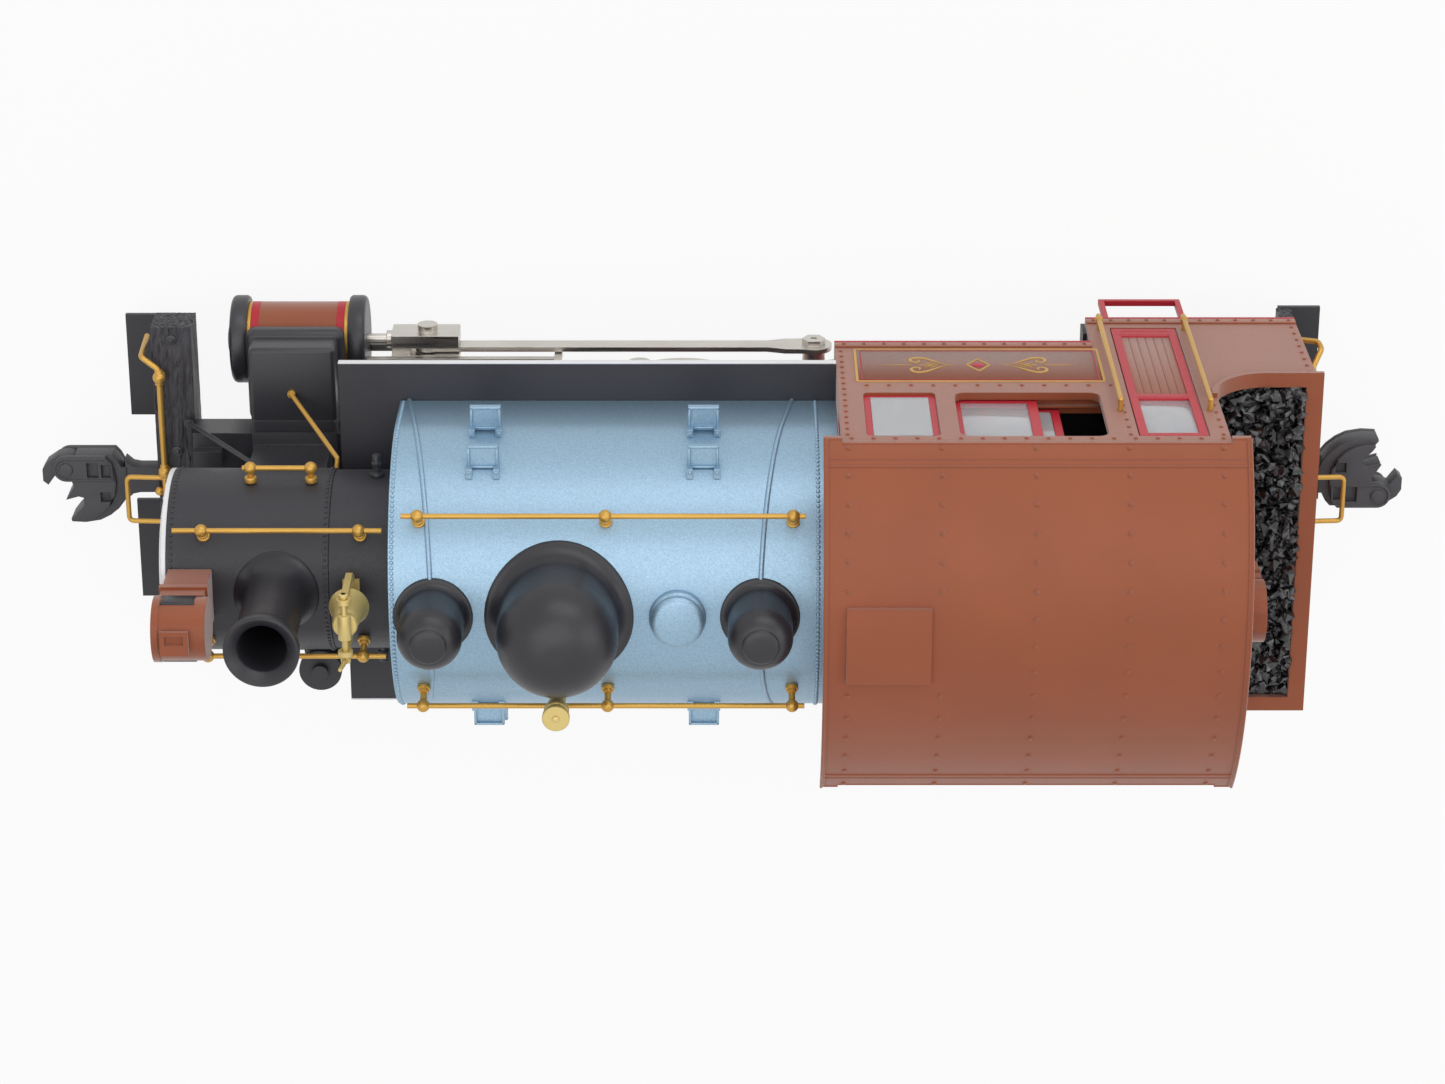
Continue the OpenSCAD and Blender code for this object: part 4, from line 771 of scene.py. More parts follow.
def run_sand_pipes():
    shape = bmesh.new()
    reach = TANK_R + PIPE_LIFT
    runs = zip((SAND_DOMES[0] + 0.4, SAND_DOMES[1]), PIPE_LEANS)
    first = math.asin(PIPE_START / TANK_R)
    steps = 24
    turns = [first + (math.pi / 2 - first) * step / steps for step in range(steps + 1)]
    for start, lean in runs:
        for side in SIDES:
            path = [(side * reach * math.sin(turn), BOILER_Z + reach * math.cos(turn)) for turn in turns]
            path.append((side * reach, BOARD_TOP + 0.3))
            wire(shape, [(start + (TANK_TOP - z) * lean, y, z) for y, z in path], PIPE_R)
    add_piece("sand_pipes", shape, "tank_blue")


# Cab roof
def trim_roof():
    rivets = bmesh.new()
    for x in ROOF_ROWS:
        for place, out in arc_row(x, ROOF_CENTRE, ROOF_R, math.radians(40.8), count=15):
            if abs(place[1]) > HATCH_HALF or x < HATCH_REAR:
                rivet(rivets, place, out, ROOF_RIVET)
    add_piece("roof_rivets", rivets, "brown_paint")
    beads = bmesh.new()
    ends = (ROOF_REAR + 0.3, ROOF_FRONT - 0.3)
    wall_top = ROOF_CENTRE + math.sqrt(ROOF_R ** 2 - CAB_HALF ** 2)
    seams = ((36.9, 0.34), (38.4, 0.18))
    for side in SIDES:
        for lean, radius in seams:
            out = leaning(side, lean)
            wire(beads, [(x, ROOF_R * out.y, ROOF_CENTRE + ROOF_R * out.z) for x in ends], radius, around=2)
        for overhang in ((ends[0], CAB_REAR), (CAB_FRONT, ends[1])):
            wire(beads, [(x, side * (ROOF_HALF - 0.15), EAVE_Z - 0.1) for x in overhang], 0.4)
        wire(beads, [(x, side * (CAB_HALF - 0.1), wall_top - 0.05) for x in (CAB_REAR, CAB_FRONT)], 0.3)
    half_turn = math.asin(ROOF_HALF / ROOF_R)
    for x in ends:
        arch = [place for place, out in arc_row(x, ROOF_CENTRE, ROOF_R + 0.2, half_turn, count=49)]
        wire(beads, arch, 0.42, around=2)
    add_piece("roof_beads", beads, "brown_paint")


# Cab sides and bunker
def rivet_cab():
    shape = bmesh.new()
    foot = CAB_BOTTOM + 2.5
    skirt = SKIRT_BOTTOM + 2.5
    sill_row = 82.0
    top_row = 120.3
    post_top = 117.6
    post_foot = 86.0
    front_foot = 55.9
    bunker_foot = 36.9
    bunker_head = 72.0
    front_post = CAB_FRONT - 1.6
    door_post = STEP_X - 4.0
    rear_post = CAB_REAR + 1.6
    bunker_post = BUNKER_REAR + 1.6
    for side in SIDES:
        face = side * CAB_HALF
        strip = side * (CAB_HALF + 0.45)
        rows = (
            ((CAB_FRONT - 2.5, strip, foot), (STEP_X + 2.0, strip, foot), 5.2),
            ((CAB_FRONT - 7.6, face, sill_row), (STEP_X - 2.2, face, sill_row), 5.6),
            ((CAB_FRONT - 2.5, face, top_row), (CAB_REAR + 2.0, face, top_row), 5.4),
            ((front_post, face, front_foot), (front_post, face, post_top), 4.2),
            ((door_post, face, post_foot), (door_post, face, post_top), 5.2),
            ((rear_post, face, post_foot), (rear_post, face, post_top), 5.2),
            ((STEP_X - 2.0, strip, skirt), (BUNKER_REAR + 1.8, strip, skirt), 4.8),
            ((bunker_post, face, bunker_foot), (bunker_post, face, bunker_head), 5.2),
        )
        for start, end, pitch in rows:
            for place in line_row(start, end, pitch):
                rivet(shape, place, (0.0, side, 0.0), CAB_RIVET)
    add_piece("cab_rivets", shape, "brown_paint")


def strip_cab():
    strips = bmesh.new()
    edges = bmesh.new()
    flat = (CAB_HALF - 0.05, CAB_HALF + 0.45)
    proud = (CAB_HALF - 0.05, CAB_HALF + 0.55)
    for side in SIDES:
        for along, foot in (((STEP_X, CAB_FRONT), CAB_BOTTOM), ((BUNKER_REAR, STEP_X), SKIRT_BOTTOM)):
            side_block(strips, side, along, flat, (foot + 0.9, foot + 4.2), edge=0.12)
            side_block(edges, side, along, proud, (foot, foot + 0.95), edge=0.12)
    add_piece("cab_sill_strips", strips, "brown_paint")
    add_piece("cab_red_edges", edges, "red_paint")


def inset_panel(inset):
    along = (PANEL_X[0] + inset, PANEL_X[1] - inset)
    up = (PANEL_Z[0] + inset, PANEL_Z[1] - inset)
    return along, up


def line_panels():
    gold = bmesh.new()
    red = bmesh.new()
    field = bmesh.new()
    skin = CAB_HALF - 0.05
    lines = ((gold, 0.0, 0.75, 0.5), (red, 1.5, 0.32, 0.3))
    for side in SIDES:
        back, front = sorted((side * skin, side * (CAB_HALF + 0.16)))
        for shape, inset, width, corner in lines:
            along, up = inset_panel(inset)
            frame_plate(shape, (along[0], back, up[0]), (along[1], front, up[1]), width, corner)
        along, up = inset_panel(0.4)
        side_block(field, side, along, (skin, CAB_HALF + 0.06), up, edge=0.03)
    add_piece("panel_gold_lines", gold, "gold_paint")
    add_piece("panel_red_lines", red, "red_paint")
    add_piece("panel_fields", field, "brown_paint", finish=FIELD_FINISH)


SCROLL_LIFT = 0.1
SCROLL_FLATNESS = 0.25
PANEL_MIDDLE = (PANEL_X[0] + PANEL_X[1]) / 2
PANEL_LEVEL = (PANEL_Z[0] + PANEL_Z[1]) / 2


def scroll_heart(shape, side, middle, point):
    face = side * (CAB_HALF + SCROLL_LIFT)
    lobe = (
        (5.4, 0.0), (3.2, 1.4), (1.0, 3.7), (-1.4, 5.7), (-4.2, 5.5),
        (-4.8, 2.9), (-3.2, 1.4), (-1.7, 2.4), (-2.4, 3.7),
    )
    lobe_widths = (0.12, 0.3, 0.5, 0.62, 0.58, 0.48, 0.4, 0.36, 0.3)
    leaves = (((3.0, 0.2), (1.6, 0.9), (0.6, 2.2)), ((1.4, 0.2), (0.0, 0.9), (-1.0, 2.0)))
    leaf_widths = (0.12, 0.46, 0.1)
    stems = ((-4.2, -12.6, 0.36), (5.0, 7.2, 0.3), (-2.2, 2.2, 0.4))
    for half in SIDES:
        for line, widths in ((lobe, lobe_widths), (leaves[0], leaf_widths), (leaves[1], leaf_widths)):
            tube(shape, [(middle + point * a, face, PANEL_LEVEL + half * b) for a, b in line], widths)
    for start, end, thick in stems:
        knots = [start + (end - start) * share for share in (0.0, 0.4, 0.7, 1.0)]
        widths = (thick * 0.6, thick, thick * 0.6, 0.08)
        tube(shape, [(middle + point * knot, face, PANEL_LEVEL) for knot in knots], widths)


def scroll_panels():
    shape = bmesh.new()
    badge = bmesh.new()
    heart_offset = 13.4
    lozenge = ((0.0, 4.6), (3.0, 0.0), (0.0, -4.6), (-3.0, 0.0), (0.0, 4.6))
    for side in SIDES:
        face = side * (CAB_HALF + SCROLL_LIFT)
        for way in (1, -1):
            scroll_heart(shape, side, PANEL_MIDDLE + way * heart_offset, -way)
        for pair in zip(lozenge, lozenge[1:]):
            wire(shape, [(PANEL_MIDDLE + a, face, PANEL_LEVEL + b) for a, b in pair], 0.36, around=1)
        middle = (PANEL_MIDDLE, face, PANEL_LEVEL)
        disc(badge, middle, (0.0, side, 0.0), radius=1.7, height=0.16, sides=24, edge=0.05)
    for corner in shape.verts:
        face = math.copysign(CAB_HALF + SCROLL_LIFT, corner.co.y)
        corner.co.y = face + (corner.co.y - face) * SCROLL_FLATNESS
    add_piece("panel_scrolls", shape, "gold_paint")
    add_piece("panel_badges", badge, "red_paint")


# Doors and sliding windows
def hang_door(side, word):
    left, right = DOOR_X
    foot, head = DOOR_Z
    inner = CAB_HALF - 1.9
    outer = CAB_HALF - 0.1
    across = sorted((side * inner, side * outer))
    bars = bmesh.new()
    frame_plate(bars, (left, across[0], foot), (right, across[1], head), width=2.2, corner=0.3)
    rail = (inner + 0.05, outer - 0.05)
    for up in ((SILL_Z + 0.2, SILL_Z + 4.0), (foot + 0.6, foot + 6.0)):
        side_block(bars, side, (left + 1.5, right - 1.5), rail, up, edge=0.2)
    for z in HINGE_Z:
        hinge = (left + 0.3, side * (CAB_HALF - 1.6), z)
        disc(bars, hinge, UP, radius=0.5, height=5.0, sides=14, edge=0.1)
    add_piece(word + "_door_bars", bars, "red_paint", word + "_door_leaf", (word + "_door",))
    planks = bmesh.new()
    count = 6
    start = left + 2.0
    pitch = (right - left - 4.0) / count
    for plank in range(count):
        ends = (start + plank * pitch, start + (plank + 1) * pitch)
        side_block(planks, side, ends, (inner + 0.4, outer - 0.45), (foot + 5.6, SILL_Z + 0.5), edge=0.26)
    add_piece(word + "_door_planks", planks, "brown_paint", word + "_door_leaf")
    pane = bmesh.new()
    height = (SILL_Z + 3.7, head - 2.0)
    side_block(pane, side, (left + 2.0, right - 2.0), (inner + 0.5, inner + 1.2), height, edge=0.1)
    add_piece(word + "_door_glass", pane, "window_clear", word + "_door_leaf")


def slide_sash(side, word):
    left, right = SASH_X
    foot, head = SASH_Z
    inner = CAB_HALF - 3.6
    lap = 2.3
    across = sorted((side * inner, side * (inner + 1.3)))
    bars = bmesh.new()
    frame_plate(bars, (left, across[0], foot), (right, across[1], head), width=2.6, corner=0.6)
    add_piece(word + "_sash_bars", bars, "red_paint", word + "_sash_pane", (word + "_sash",))
    pane = bmesh.new()
    ends = (left + lap, right - lap)
    side_block(pane, side, ends, (inner + 0.3, inner + 1.0), (foot + lap, head - lap), edge=0.1)
    add_piece(word + "_sash_glass", pane, "window_clear", word + "_sash_pane")


# Coal in the bunker
LUMP_CORNERS = 9
COAL_SEED = 7
COAL_PITCH = 2.5
COAL_LAP = 0.9
COAL_JITTER = 1.2


def coal_lump(shape, chance, centre, size):
    corners = []
    for _ in range(LUMP_CORNERS):
        way = Vector([chance.gauss(0.0, 1.0) for axis in range(3)]).normalized()
        corners.append(shape.verts.new(Vector(centre) + way * size * chance.uniform(0.8, 1.0)))
    made = bmesh.ops.convex_hull(shape, input=corners)
    spare = made["geom_interior"] + made["geom_unused"]
    loose = {item for item in spare if isinstance(item, bmesh.types.BMVert)}
    bmesh.ops.delete(shape, geom=list(loose), context="VERTS")


def heap_coal():
    chance = random.Random(COAL_SEED)
    shape = bmesh.new()
    low = (BUNKER_REAR + RIM_W + 0.1, -CAB_HALF + RIM_W + 0.1, BUNKER_FLOOR + 0.1)
    high = (CAB_REAR - 0.1, CAB_HALF - RIM_W - 0.1, BUNKER_TOP - 1.6)
    block(shape, low, high, edge=0.4)
    rows = int((high[0] - low[0]) / COAL_PITCH)
    columns = int((high[1] - low[1]) / COAL_PITCH)
    for layer in range(2):
        for row in range(rows + 1):
            for column in range(columns + 1):
                size = chance.uniform(1.4, 2.7)
                x = low[0] + row * COAL_PITCH + chance.uniform(-COAL_JITTER, COAL_JITTER)
                y = low[1] + column * COAL_PITCH + chance.uniform(-COAL_JITTER, COAL_JITTER)
                x = min(max(x, low[0] + size - COAL_LAP), high[0] - size)
                y = min(max(y, low[1] + size - COAL_LAP), high[1] - size + COAL_LAP)
                crown = 1.0 - (y / CAB_HALF) ** 2
                lift = layer * chance.uniform(0.6, 2.2) * (0.35 + crown)
                z = high[2] + lift + chance.uniform(0.2, 1.2)
                if layer == 0 or chance.random() < 0.6:
                    coal_lump(shape, chance, (x, y, z), size)
    add_piece("coal_lumps", shape, "coal", stands_for=("coal_load",), smooth=False)


# Running boards, cylinders and beams
def edge_boards():
    shape = bmesh.new()
    ends = (TANK_REAR, SEAM_X - 0.5)
    across = (BOARD_HALF - 0.3, BOARD_HALF + 0.12)
    for side in SIDES:
        side_block(shape, side, ends, across, (BOARD_TOP - 2.0, BOARD_TOP + 0.12), edge=0.08)
    add_piece("board_edges", shape, "silver_paint")


def band_cylinders():
    gold = bmesh.new()
    red = bmesh.new()
    rear, front = JACKET_X
    for side in SIDES:
        middle = side * CYLINDER_Y
        for shape, near, far in ((gold, 0.1, 1.0), (red, 1.0, 3.2)):
            for along in ((rear + near, rear + far), (front - far, front - near)):
                ring_band(shape, along, middle, AXLE_Z, JACKET_R + 0.035, thick=0.08)
    add_piece("jacket_gold_bands", gold, "gold_paint")
    add_piece("jacket_red_bands", red, "red_paint")


def turn_covers():
    shape = bmesh.new()
    rim_round = 1.3
    edge = arc((COVER_R - rim_round, 3.4), rim_round, 90.0, 0.0, steps=5)
    edge += [(COVER_R, 0.7), (COVER_R - 0.4, 0.1), (COVER_R - 0.8, 0.0)]
    front = [(0.0, 5.9), (3.4, 5.9), (4.0, 5.4), (4.0, 4.75), (9.2, 4.7)] + edge + [(0.0, 0.0)]
    back = [(ROD_HOLE, 4.7), (9.2, 4.7)] + edge + [(ROD_HOLE, 0.0), (ROD_HOLE, 4.7)]
    for side in SIDES:
        middle = side * CYLINDER_Y
        turned(shape, front, (JACKET_X[1], middle, AXLE_Z), along=AHEAD)
        turned(shape, back, (JACKET_X[0], middle, AXLE_Z), along=(-1.0, 0.0, 0.0))
    add_piece("cover_turnings", shape, "black_metal", stands_for=("cylinder_covers",))


def cast_saddle():
    shape = bmesh.new()
    start, end = SADDLE_X
    deck = DECK_TOP + 0.05
    top = DECK_TOP + 1
    half = DECK_HALF
    root = half + 0.05
    block(shape, (start + 1.5, 3 - half, deck), (end - 0.5, half - 3, BOILER_Z - 18.0), edge=0.6)
    block(shape, (start + 0.1, -half - 4, deck), (end - 0.1, half + 4, top - 0.02), edge=0.1)
    chest = ((start, end), (root, CYLINDER_Y + 6.2), (DECK_TOP - 9, top))
    flange = ((start - 1.7, end + 1.7), (root, CYLINDER_Y + 8), (DECK_TOP - 14, DECK_TOP - 8))
    web = ((start + 1.3, end + 1), (root, CYLINDER_Y), (AXLE_Z + 8, AXLE_Z + 11.5))
    for side in SIDES:
        side_block(shape, side, *chest, edge=1.2, segments=4)
        side_block(shape, side, *flange, edge=2.4, segments=5)
        side_block(shape, side, *web, edge=0.4)
    add_piece("saddle_casting", shape, "black_metal", stands_for=("cylinder_saddle",))


GRAIN_WANDER = 2.6
GROOVE_WIDTH = 0.14
GROOVE_DEPTH = 0.42
FINE_WIDTH = 0.2
FINE_DEPTH = 0.14
GRAIN_CUTS = 39
FACE_GAP = 1e-4


def grain_depth(place):
    wander = noise.noise((place.x * 0.11, place.y * 0.05, place.z * 0.11))
    across = place.x + GRAIN_WANDER * wander
    height = place.z + GRAIN_WANDER * wander
    wave = noise.noise((across * 0.8, place.y * 0.055, height * 0.8))
    fine = noise.noise((across * 1.9, place.y * 0.12, height * 1.9 + 7.0))
    groove = GROOVE_DEPTH * max(0.0, 1.0 - abs(wave) / GROOVE_WIDTH)
    return groove + FINE_DEPTH * max(0.0, 1.0 - abs(fine) / FINE_WIDTH)


def carve_block(shape, low, high, open_sides):
    made = bmesh.ops.create_cube(shape, size=1.0, matrix=box_pose(low, high))
    known = set(shape.verts) - set(made["verts"])
    bmesh.ops.subdivide_edges(shape, edges=edges_of(made["verts"]), cuts=GRAIN_CUTS, use_grid_fill=True)
    for corner in shape.verts:
        if corner in known:
            continue
        inward = Vector((0.0, 0.0, 0.0))
        for axis in range(3):
            if abs(corner.co[axis] - low[axis]) < FACE_GAP and (axis, 0) in open_sides:
                inward[axis] = 1.0
            if abs(corner.co[axis] - high[axis]) < FACE_GAP and (axis, 1) in open_sides:
                inward[axis] = -1.0
        if inward.length > 0.0:
            depth = grain_depth(corner.co)
            at_an_edge = inward.length > 1.2
            if at_an_edge:
                depth = 0.05 + 0.15 * depth
            corner.co += inward.normalized() * depth


def carve_beams():
    shape = bmesh.new()
    slot = 10.0
    rear_up = (SKIRT_BOTTOM - 12.05, SKIRT_BOTTOM - 2.05)
    rear_bridge = (rear_up[0], 21.4)
    front_up = (BEAM_BOTTOM, BEAM_TOP)
    front_bridge = (33.0, BEAM_TOP)
    beams = (
        ((BEAM_X, BEAM_X + BEAM_DEPTH), BEAM_HALF, front_up, front_bridge, (0, 1)),
        (REAR_BEAM_X, CAB_HALF - 1.0, rear_up, rear_bridge, (0, 0)),
    )
    for along, half, up, bridge, outside in beams:
        faces = {outside, (2, 0), (2, 1)}
        carve_block(shape, (along[0], -half, up[0]), (along[1], -slot, up[1]), faces | {(1, 0)})
        carve_block(shape, (along[0], slot, up[0]), (along[1], half, up[1]), faces | {(1, 1)})
        carve_block(shape, (along[0], -slot, bridge[0]), (along[1], slot, bridge[1]), faces)
    add_piece("beam_timbers", shape, "beam_wood", stands_for=("buffer_beams",))


def bolt_beams():
    shape = bmesh.new()
    for side in SIDES:
        for across in (12.0, 44.4):
            place = (BEAM_X + 5.4, side * across, BEAM_TOP + 0.15)
            disc(shape, place, UP, radius=1.5, height=0.5, sides=18, edge=0.12)
            disc(shape, place, UP, radius=0.8, height=1.1, sides=6, edge=0.1)
    add_piece("beam_bolts", shape, "black_metal")


def bend_levers():
    shape = bmesh.new()
    level = BEAM_TOP + 2.1
    rod_r = 0.8
    loop_r = 0.7
    loop_places = ((0.2, -5.0, 0.0), (10.6, -5.0, -0.6), (10.6, 8.0, -0.6), (0.2, 8.0, 0.0))
    for end, x, handle in ((1, FRONT_LEVER_X, FRONT_HANDLE), (-1, REAR_LEVER_X, REAR_HANDLE)):
        right = [(x + end * ahead, -across, level + up) for ahead, across, up in reversed(handle)]
        left = [(px, -py, pz) for px, py, pz in reversed(right)]
        bent_rod(shape, right + left, rod_r, bend=1.2)
        loop = [(x + end * ahead, across, level + up) for ahead, across, up in loop_places]
        bent_rod(shape, loop, loop_r, bend=1.5)
        ball(shape, (x + end * 1.7, -1.0, level), radius=1.25)
        for across in LEVER_POSTS:
            place = Vector((x, across, level))
            ball(shape, place, radius=1.75)
            disc(shape, place, ACROSS, radius=1.15, height=4.4, edge=0.25)
            if end > 0:
                disc(shape, place - Vector((0.0, 0.0, 1.2)), UP, radius=1.0, height=1.7, edge=0.1)
                disc(shape, place - Vector((0.0, 0.0, 1.75)), UP, radius=1.5, height=0.5, edge=0.15)
            else:
                disc(shape, place + Vector((2.4, 0.0, 0.0)), AHEAD, radius=1.0, height=3.6, edge=0.1)
                disc(shape, place + Vector((3.9, 0.0, 0.0)), AHEAD, radius=1.5, height=0.6, edge=0.15)
    add_piece("lever_rods", shape, "gold_paint", stands_for=("cut_levers",))


# Couplers and their hooks
def cut_plate(shape, outline, windows, low, high, edge):
    sides = []
    for loop in (outline, *windows):
        sides += closed_loop(shape, [(x, y, high) for x, y in loop])
    filled = bmesh.ops.triangle_fill(shape, edges=sides, use_beauty=True)
    top = [item for item in filled["geom"] if isinstance(item, bmesh.types.BMFace)]
    sides = thicken(shape, top, (0.0, 0.0, low - high))
    rims = [side for side in sides if side.calc_face_angle(0.0) > SQUARE_EDGE]
    flat = [side for side in rims if abs(side.verts[0].co.z - side.verts[1].co.z) < LEVEL_GAP]
    bevel_sides(shape, flat, edge, segments=2)


def bar_loop(near, far, low, high):
    return [(near, low), (far, low), (far, high), (near, high)]


def from_nose(points):
    return [(HALF_LEN + x, y) for x, y in points]


def turn_to_end(shape, end):
    if end < 0:
        bmesh.ops.transform(shape, matrix=Matrix.Rotation(math.pi, 4, "Z"), verts=shape.verts)


def add_casting(name, shape, word, moving):
    body = word + "_" + moving + "_body"
    add_piece(name, shape, "black_metal", body, (word + "_" + moving,), finish=COUPLER_FINISH)


LUG_R = 3.7


def cast_coupler(end, word):
    shape = bmesh.new()
    back = [
        (-19.8, -7.6), (-21.2, -6.0), (-22.3, -3.8), (-23.6, -3.8), (-23.6, 3.8), (-22.6, 6.0), (-20.8, 8.4),
        (-18.4, 10.4), (-15.5, 11.9), (-11.3, 12.6),
    ]
    step = [
        (-18.0, -7.6), (-19.3, -5.8), (-20.3, -3.2), (-20.7, 0.5), (-20.1, 4.0), (-18.6, 7.0),
        (-16.4, 9.2), (-13.8, 10.6), (-10.9, 11.2),
    ]
    throat = [(-9.0, 9.3), (-11.3, 7.0), (-11.4, 4.6), (-10.0, 4.2), (-6.4, 5.2), (-8.8, 1.4)]
    arm = [(-7.4, 12.4), (-7.2, 11.6)] + throat
    low_arm = [(-8.4, 11.1), (-8.2, 10.5)] + throat
    heel = [(-8.4, -0.2)]
    lug = arc(HOOK_PIN, LUG_R, 90.0, -90.0, steps=14)
    gap = arc(HOOK_PIN, 4.35, 112.0, 238.0, steps=10)
    pockets = (
        bar_loop(-15.8, -12.8, -5.7, -1.4),
        bar_loop(-19.2, -16.8, -5.2, -1.4),
        bar_loop(-19.0, -16.2, 3.0, 5.8),
    )
    bottom, slot_low, slot_high, top = COUPLER_LEVELS
    cut_plate(shape, from_nose(lug + back + arm + heel), (), bottom, slot_low, edge=0.4)
    cut_plate(shape, from_nose(gap + back + arm), (), slot_low - 0.1, slot_high + 0.4, edge=0.5)
    windows = [from_nose(pocket) for pocket in pockets]
    cut_plate(shape, from_nose(lug + step + low_arm + heel), windows, slot_high, top, edge=0.3)
    neck = [(-27.5, -3.7), (-25.0, -4.2), (-23.0, -6.0), (-23.0, 6.0), (-25.0, 4.2), (-27.5, 3.7)]
    cut_plate(shape, from_nose(neck), (), slot_low + 0.1, slot_high - 0.1, edge=0.5)
    shank_half = 3.8
    shank = (COUPLER_PIVOT + 2.6, HALF_LEN - 21.0)
    block(shape, (shank[0], -shank_half, slot_low), (shank[1], shank_half, slot_high), edge=0.6)
    eye = [(2.3, slot_low), (4.6, slot_low), (5.0, slot_low + 0.4), (5.0, slot_high - 0.4), (4.6, slot_high)]
    eye += [(2.3, slot_high), (2.3, slot_low)]
    turned(shape, eye, (COUPLER_PIVOT, 0.0, 0.0), sides=48)
    rim_r = 3.1
    rim = arc(HOOK_PIN, rim_r, 90.0, -90.0, steps=14)
    rim += [(-18.0, HOOK_PIN[1] - rim_r), (-19.6, -5.4), (-19.9, -0.8)]
    wire(shape, [(x, y, top) for x, y in from_nose(rim + rim[:1])], 0.38, around=2)
    pin_x, pin_y = from_nose([HOOK_PIN])[0]
    disc(shape, (pin_x, pin_y, (bottom + top) / 2), UP, radius=1.2, height=top - bottom)
    disc(shape, (pin_x, pin_y, top + 0.1), UP, radius=1.9, height=0.9, sides=24, edge=0.25)
    turn_to_end(shape, end)
    add_casting(word + "_coupler_casting", shape, word, "coupler")


def cast_hook(end, word):
    shape = bmesh.new()
    outline = arc(HOOK_PIN, LUG_R, 270.0, 90.0, steps=16)
    outline += [(-5.4, -0.6), (-3.6, -1.4), (-1.4, 1.6), (0.0, 0.4), (0.0, -3.0), (-1.2, -5.0), (-4.4, -7.2)]
    hole = arc(HOOK_PIN, 1.27, 0.0, 345.0, steps=23)
    slot_low, slot_high = COUPLER_LEVELS[1:3]
    cut_plate(shape, from_nose(outline), [from_nose(hole)], slot_low + 0.2, slot_high - 0.2, edge=0.4)
    turn_to_end(shape, end)
    add_casting(word + "_hook_casting", shape, word, "knuckle")


# Lamp plates and check valves
def plate_lamp():
    shape = bmesh.new()
    start, end = LAMP_X + 3.0, LAMP_X + 11.6
    frame_up = (LAMP_Z - 2.6, LAMP_Z + 2.6)
    plate_up = (LAMP_Z - 2.0, LAMP_Z + 2.0)
    for side in SIDES:
        side_block(shape, side, (start, end), (LAMP_R - 0.7, LAMP_R - 0.02), frame_up, edge=0.12)
        side_block(shape, side, (start + 0.6, end - 0.6), (LAMP_R - 0.3, LAMP_R + 0.1), plate_up, edge=0.1)
    add_piece("lamp_side_plates", shape, "black_gloss")


def fit_check_valve():
    shape = bmesh.new()
    for side in SIDES:
        out = leaning(side, VALVE_LEAN)
        base = Vector((VALVE_X, 0.0, BOILER_Z)) + out * BARREL_R
        disc(shape, base + out * 0.5, out, radius=2.0, height=1.4, sides=24, edge=0.2)
        disc(shape, base + out * 3.0, out, radius=1.1, height=6.2, edge=0.2)
        disc(shape, base + out * 3.4, out, radius=1.5, height=1.1, sides=6, edge=0.15)
    add_piece("check_valves", shape, "black_metal")


rivet_tank()
rivet_smokebox()
bolt_smokebox_front()
rim_tank_steps()
collar_rail_posts()
turn_domes()
turn_stack()
turn_filler()
turn_whistle()
cast_bell()
run_sand_pipes()
trim_roof()
rivet_cab()
strip_cab()
line_panels()
scroll_panels()
for door_side, door_word in ((-1, "right"), (1, "left")):
    hang_door(door_side, door_word)
    slide_sash(door_side, door_word)
heap_coal()
edge_boards()
band_cylinders()
turn_covers()
cast_saddle()
carve_beams()
bolt_beams()
bend_levers()
for coupler_end, coupler_word in ((1, "front"), (-1, "rear")):
    cast_coupler(coupler_end, coupler_word)
    cast_hook(coupler_end, coupler_word)
plate_lamp()
fit_check_valve()


# Camera at the photograph's angle, in metres from here on
CAMERA_ELEVATION = math.radians(67.3)
CAMERA_DISTANCE = 1.030
AIM_HEIGHT = 0.074


def place_camera():
    lens = bpy.data.cameras.new("camera")
    lens.sensor_width = 36.0
    lens.lens = 95.97
    lens.clip_start = 0.01
    camera = bpy.data.objects.new("camera", lens)
    bpy.context.scene.collection.objects.link(camera)
    rise = math.sin(CAMERA_ELEVATION)
    run = math.cos(CAMERA_ELEVATION)
    camera.matrix_world = Matrix((
        (-1.0, 0.0, 0.0, 0.0),
        (0.0, -rise, -run, -run * CAMERA_DISTANCE),
        (0.0, -run, rise, rise * CAMERA_DISTANCE + AIM_HEIGHT),
        (0.0, 0.0, 0.0, 1.0),
    ))
    bpy.context.scene.camera = camera


# Floor, world and lamps
FLOOR_HALF = 4.0
FLOOR_GLOW = 0.9
WORLD_LIGHT = 0.48
LAMP_AIM = (0.0, 0.0, 0.07)


def seen_share(tree):
    path = add(tree, "ShaderNodeLightPath")
    first = add(tree, "ShaderNodeMath", operation="MAXIMUM")
    second = add(tree, "ShaderNodeMath", operation="MAXIMUM")
    tree.links.new(path.outputs["Is Camera Ray"], first.inputs[0])
    tree.links.new(path.outputs["Is Glossy Ray"], first.inputs[1])
    tree.links.new(first.outputs[0], second.inputs[0])
    tree.links.new(path.outputs["Is Transmission Ray"], second.inputs[1])
    return second.outputs[0]


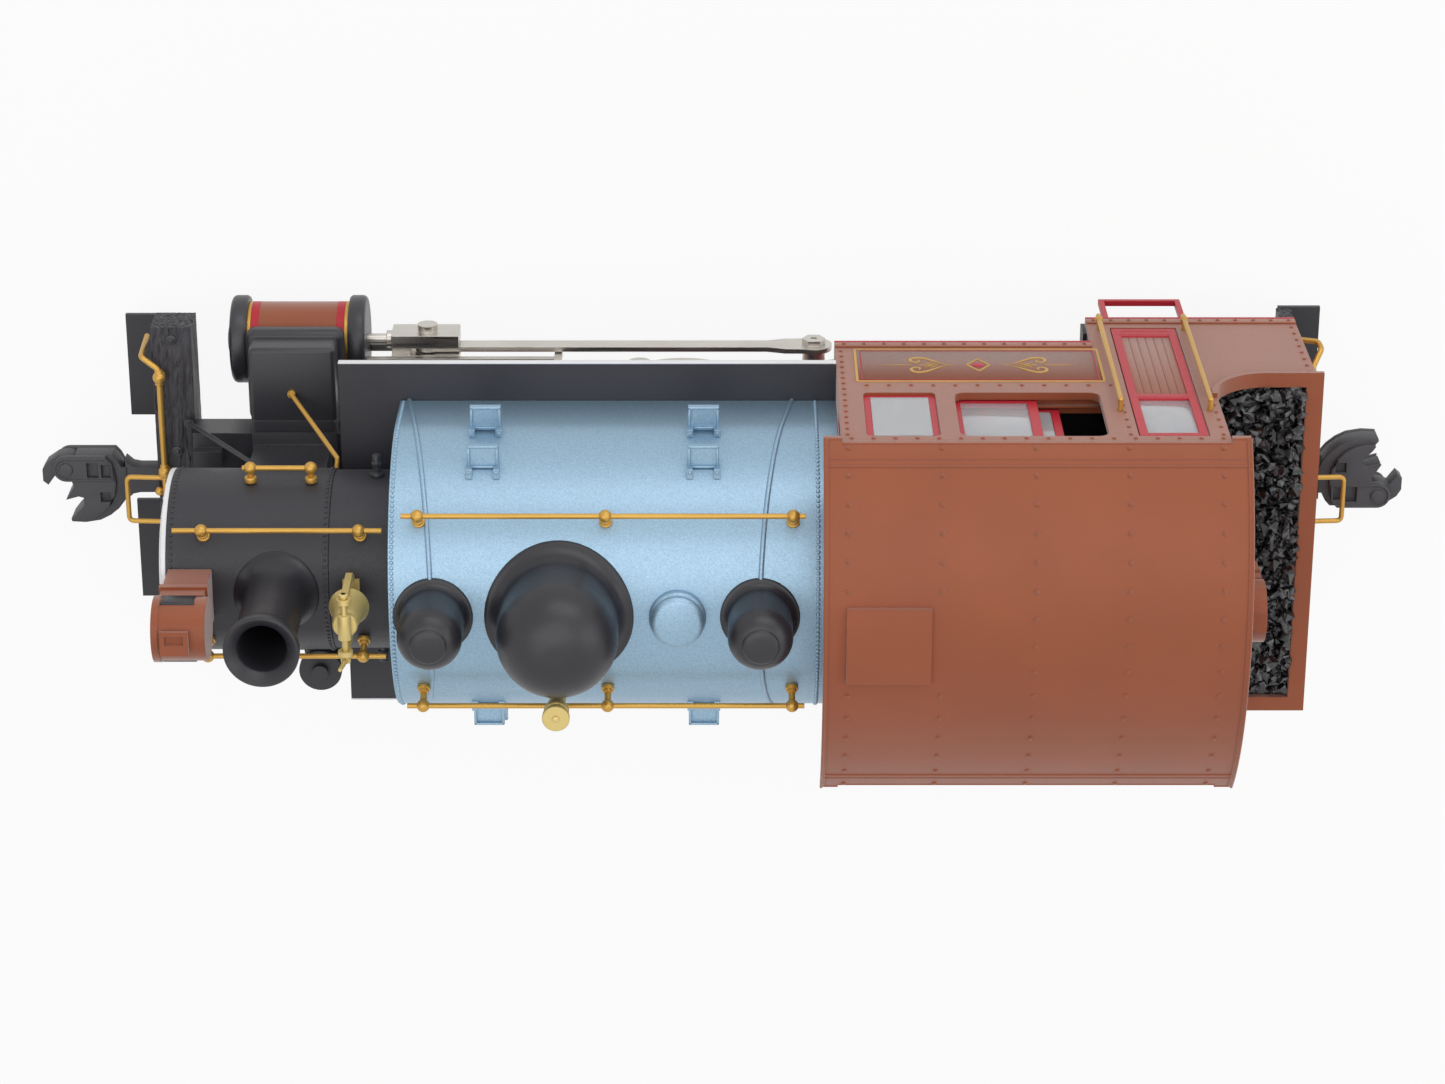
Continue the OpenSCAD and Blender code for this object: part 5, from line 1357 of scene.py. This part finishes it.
def lay_floor():
    shape = bmesh.new()
    bmesh.ops.create_grid(shape, x_segments=1, y_segments=1, size=FLOOR_HALF)
    mesh = bpy.data.meshes.new("studio_floor")
    shape.to_mesh(mesh)
    shape.free()
    floor = bpy.data.objects.new("studio_floor", mesh)
    bpy.context.scene.collection.objects.link(floor)
    finish, tree, shader = start_finish("pale_floor")
    fill_inputs(shader, {"Base Color": (0.9, 0.9, 0.9, 1.0), "Roughness": 0.9, "Specular IOR Level": 0.1})
    glow = add(tree, "ShaderNodeEmission")
    share = add(tree, "ShaderNodeMath", operation="MULTIPLY")
    fill_inputs(share, {1: FLOOR_GLOW})
    mix = add(tree, "ShaderNodeMixShader")
    tree.links.new(seen_share(tree), share.inputs[0])
    tree.links.new(share.outputs[0], mix.inputs["Fac"])
    tree.links.new(shader.outputs["BSDF"], mix.inputs[1])
    tree.links.new(glow.outputs["Emission"], mix.inputs[2])
    tree.links.new(mix.outputs["Shader"], tree.nodes["Material Output"].inputs["Surface"])
    mesh.materials.append(finish)


def light_world():
    world = bpy.data.worlds.new("studio")
    world.use_nodes = True
    bpy.context.scene.world = world
    tree = world.node_tree
    back = tree.nodes["Background"]
    strength = add(tree, "ShaderNodeMapRange")
    fill_inputs(strength, {"To Min": WORLD_LIGHT, "To Max": 1.0})
    tree.links.new(seen_share(tree), strength.inputs["Value"])
    tree.links.new(strength.outputs["Result"], back.inputs["Strength"])
    fill_inputs(back, {"Color": (1.0, 1.0, 1.0, 1.0)})


def hang_lamp(name, place, size, power):
    lamp = bpy.data.lights.new(name, "AREA")
    lamp.shape = "RECTANGLE"
    lamp.size, lamp.size_y = size
    lamp.energy = power
    holder = bpy.data.objects.new(name, lamp)
    holder.location = place
    aim = Vector(LAMP_AIM) - Vector(place)
    holder.rotation_euler = aim.to_track_quat("-Z", "Y").to_euler()
    bpy.context.scene.collection.objects.link(holder)


place_camera()
lay_floor()
light_world()
hang_lamp("overhead_soft_box", place=(0.15, -0.3, 1.25), size=(1.4, 0.9), power=4.8)
hang_lamp("side_soft_box", place=(-0.3, -1.3, 0.5), size=(1.2, 0.6), power=4.0)
hang_lamp("rear_soft_box", place=(-1.1, -0.2, 0.8), size=(0.8, 0.8), power=2.2)
bpy.context.scene.view_settings.view_transform = "Standard"
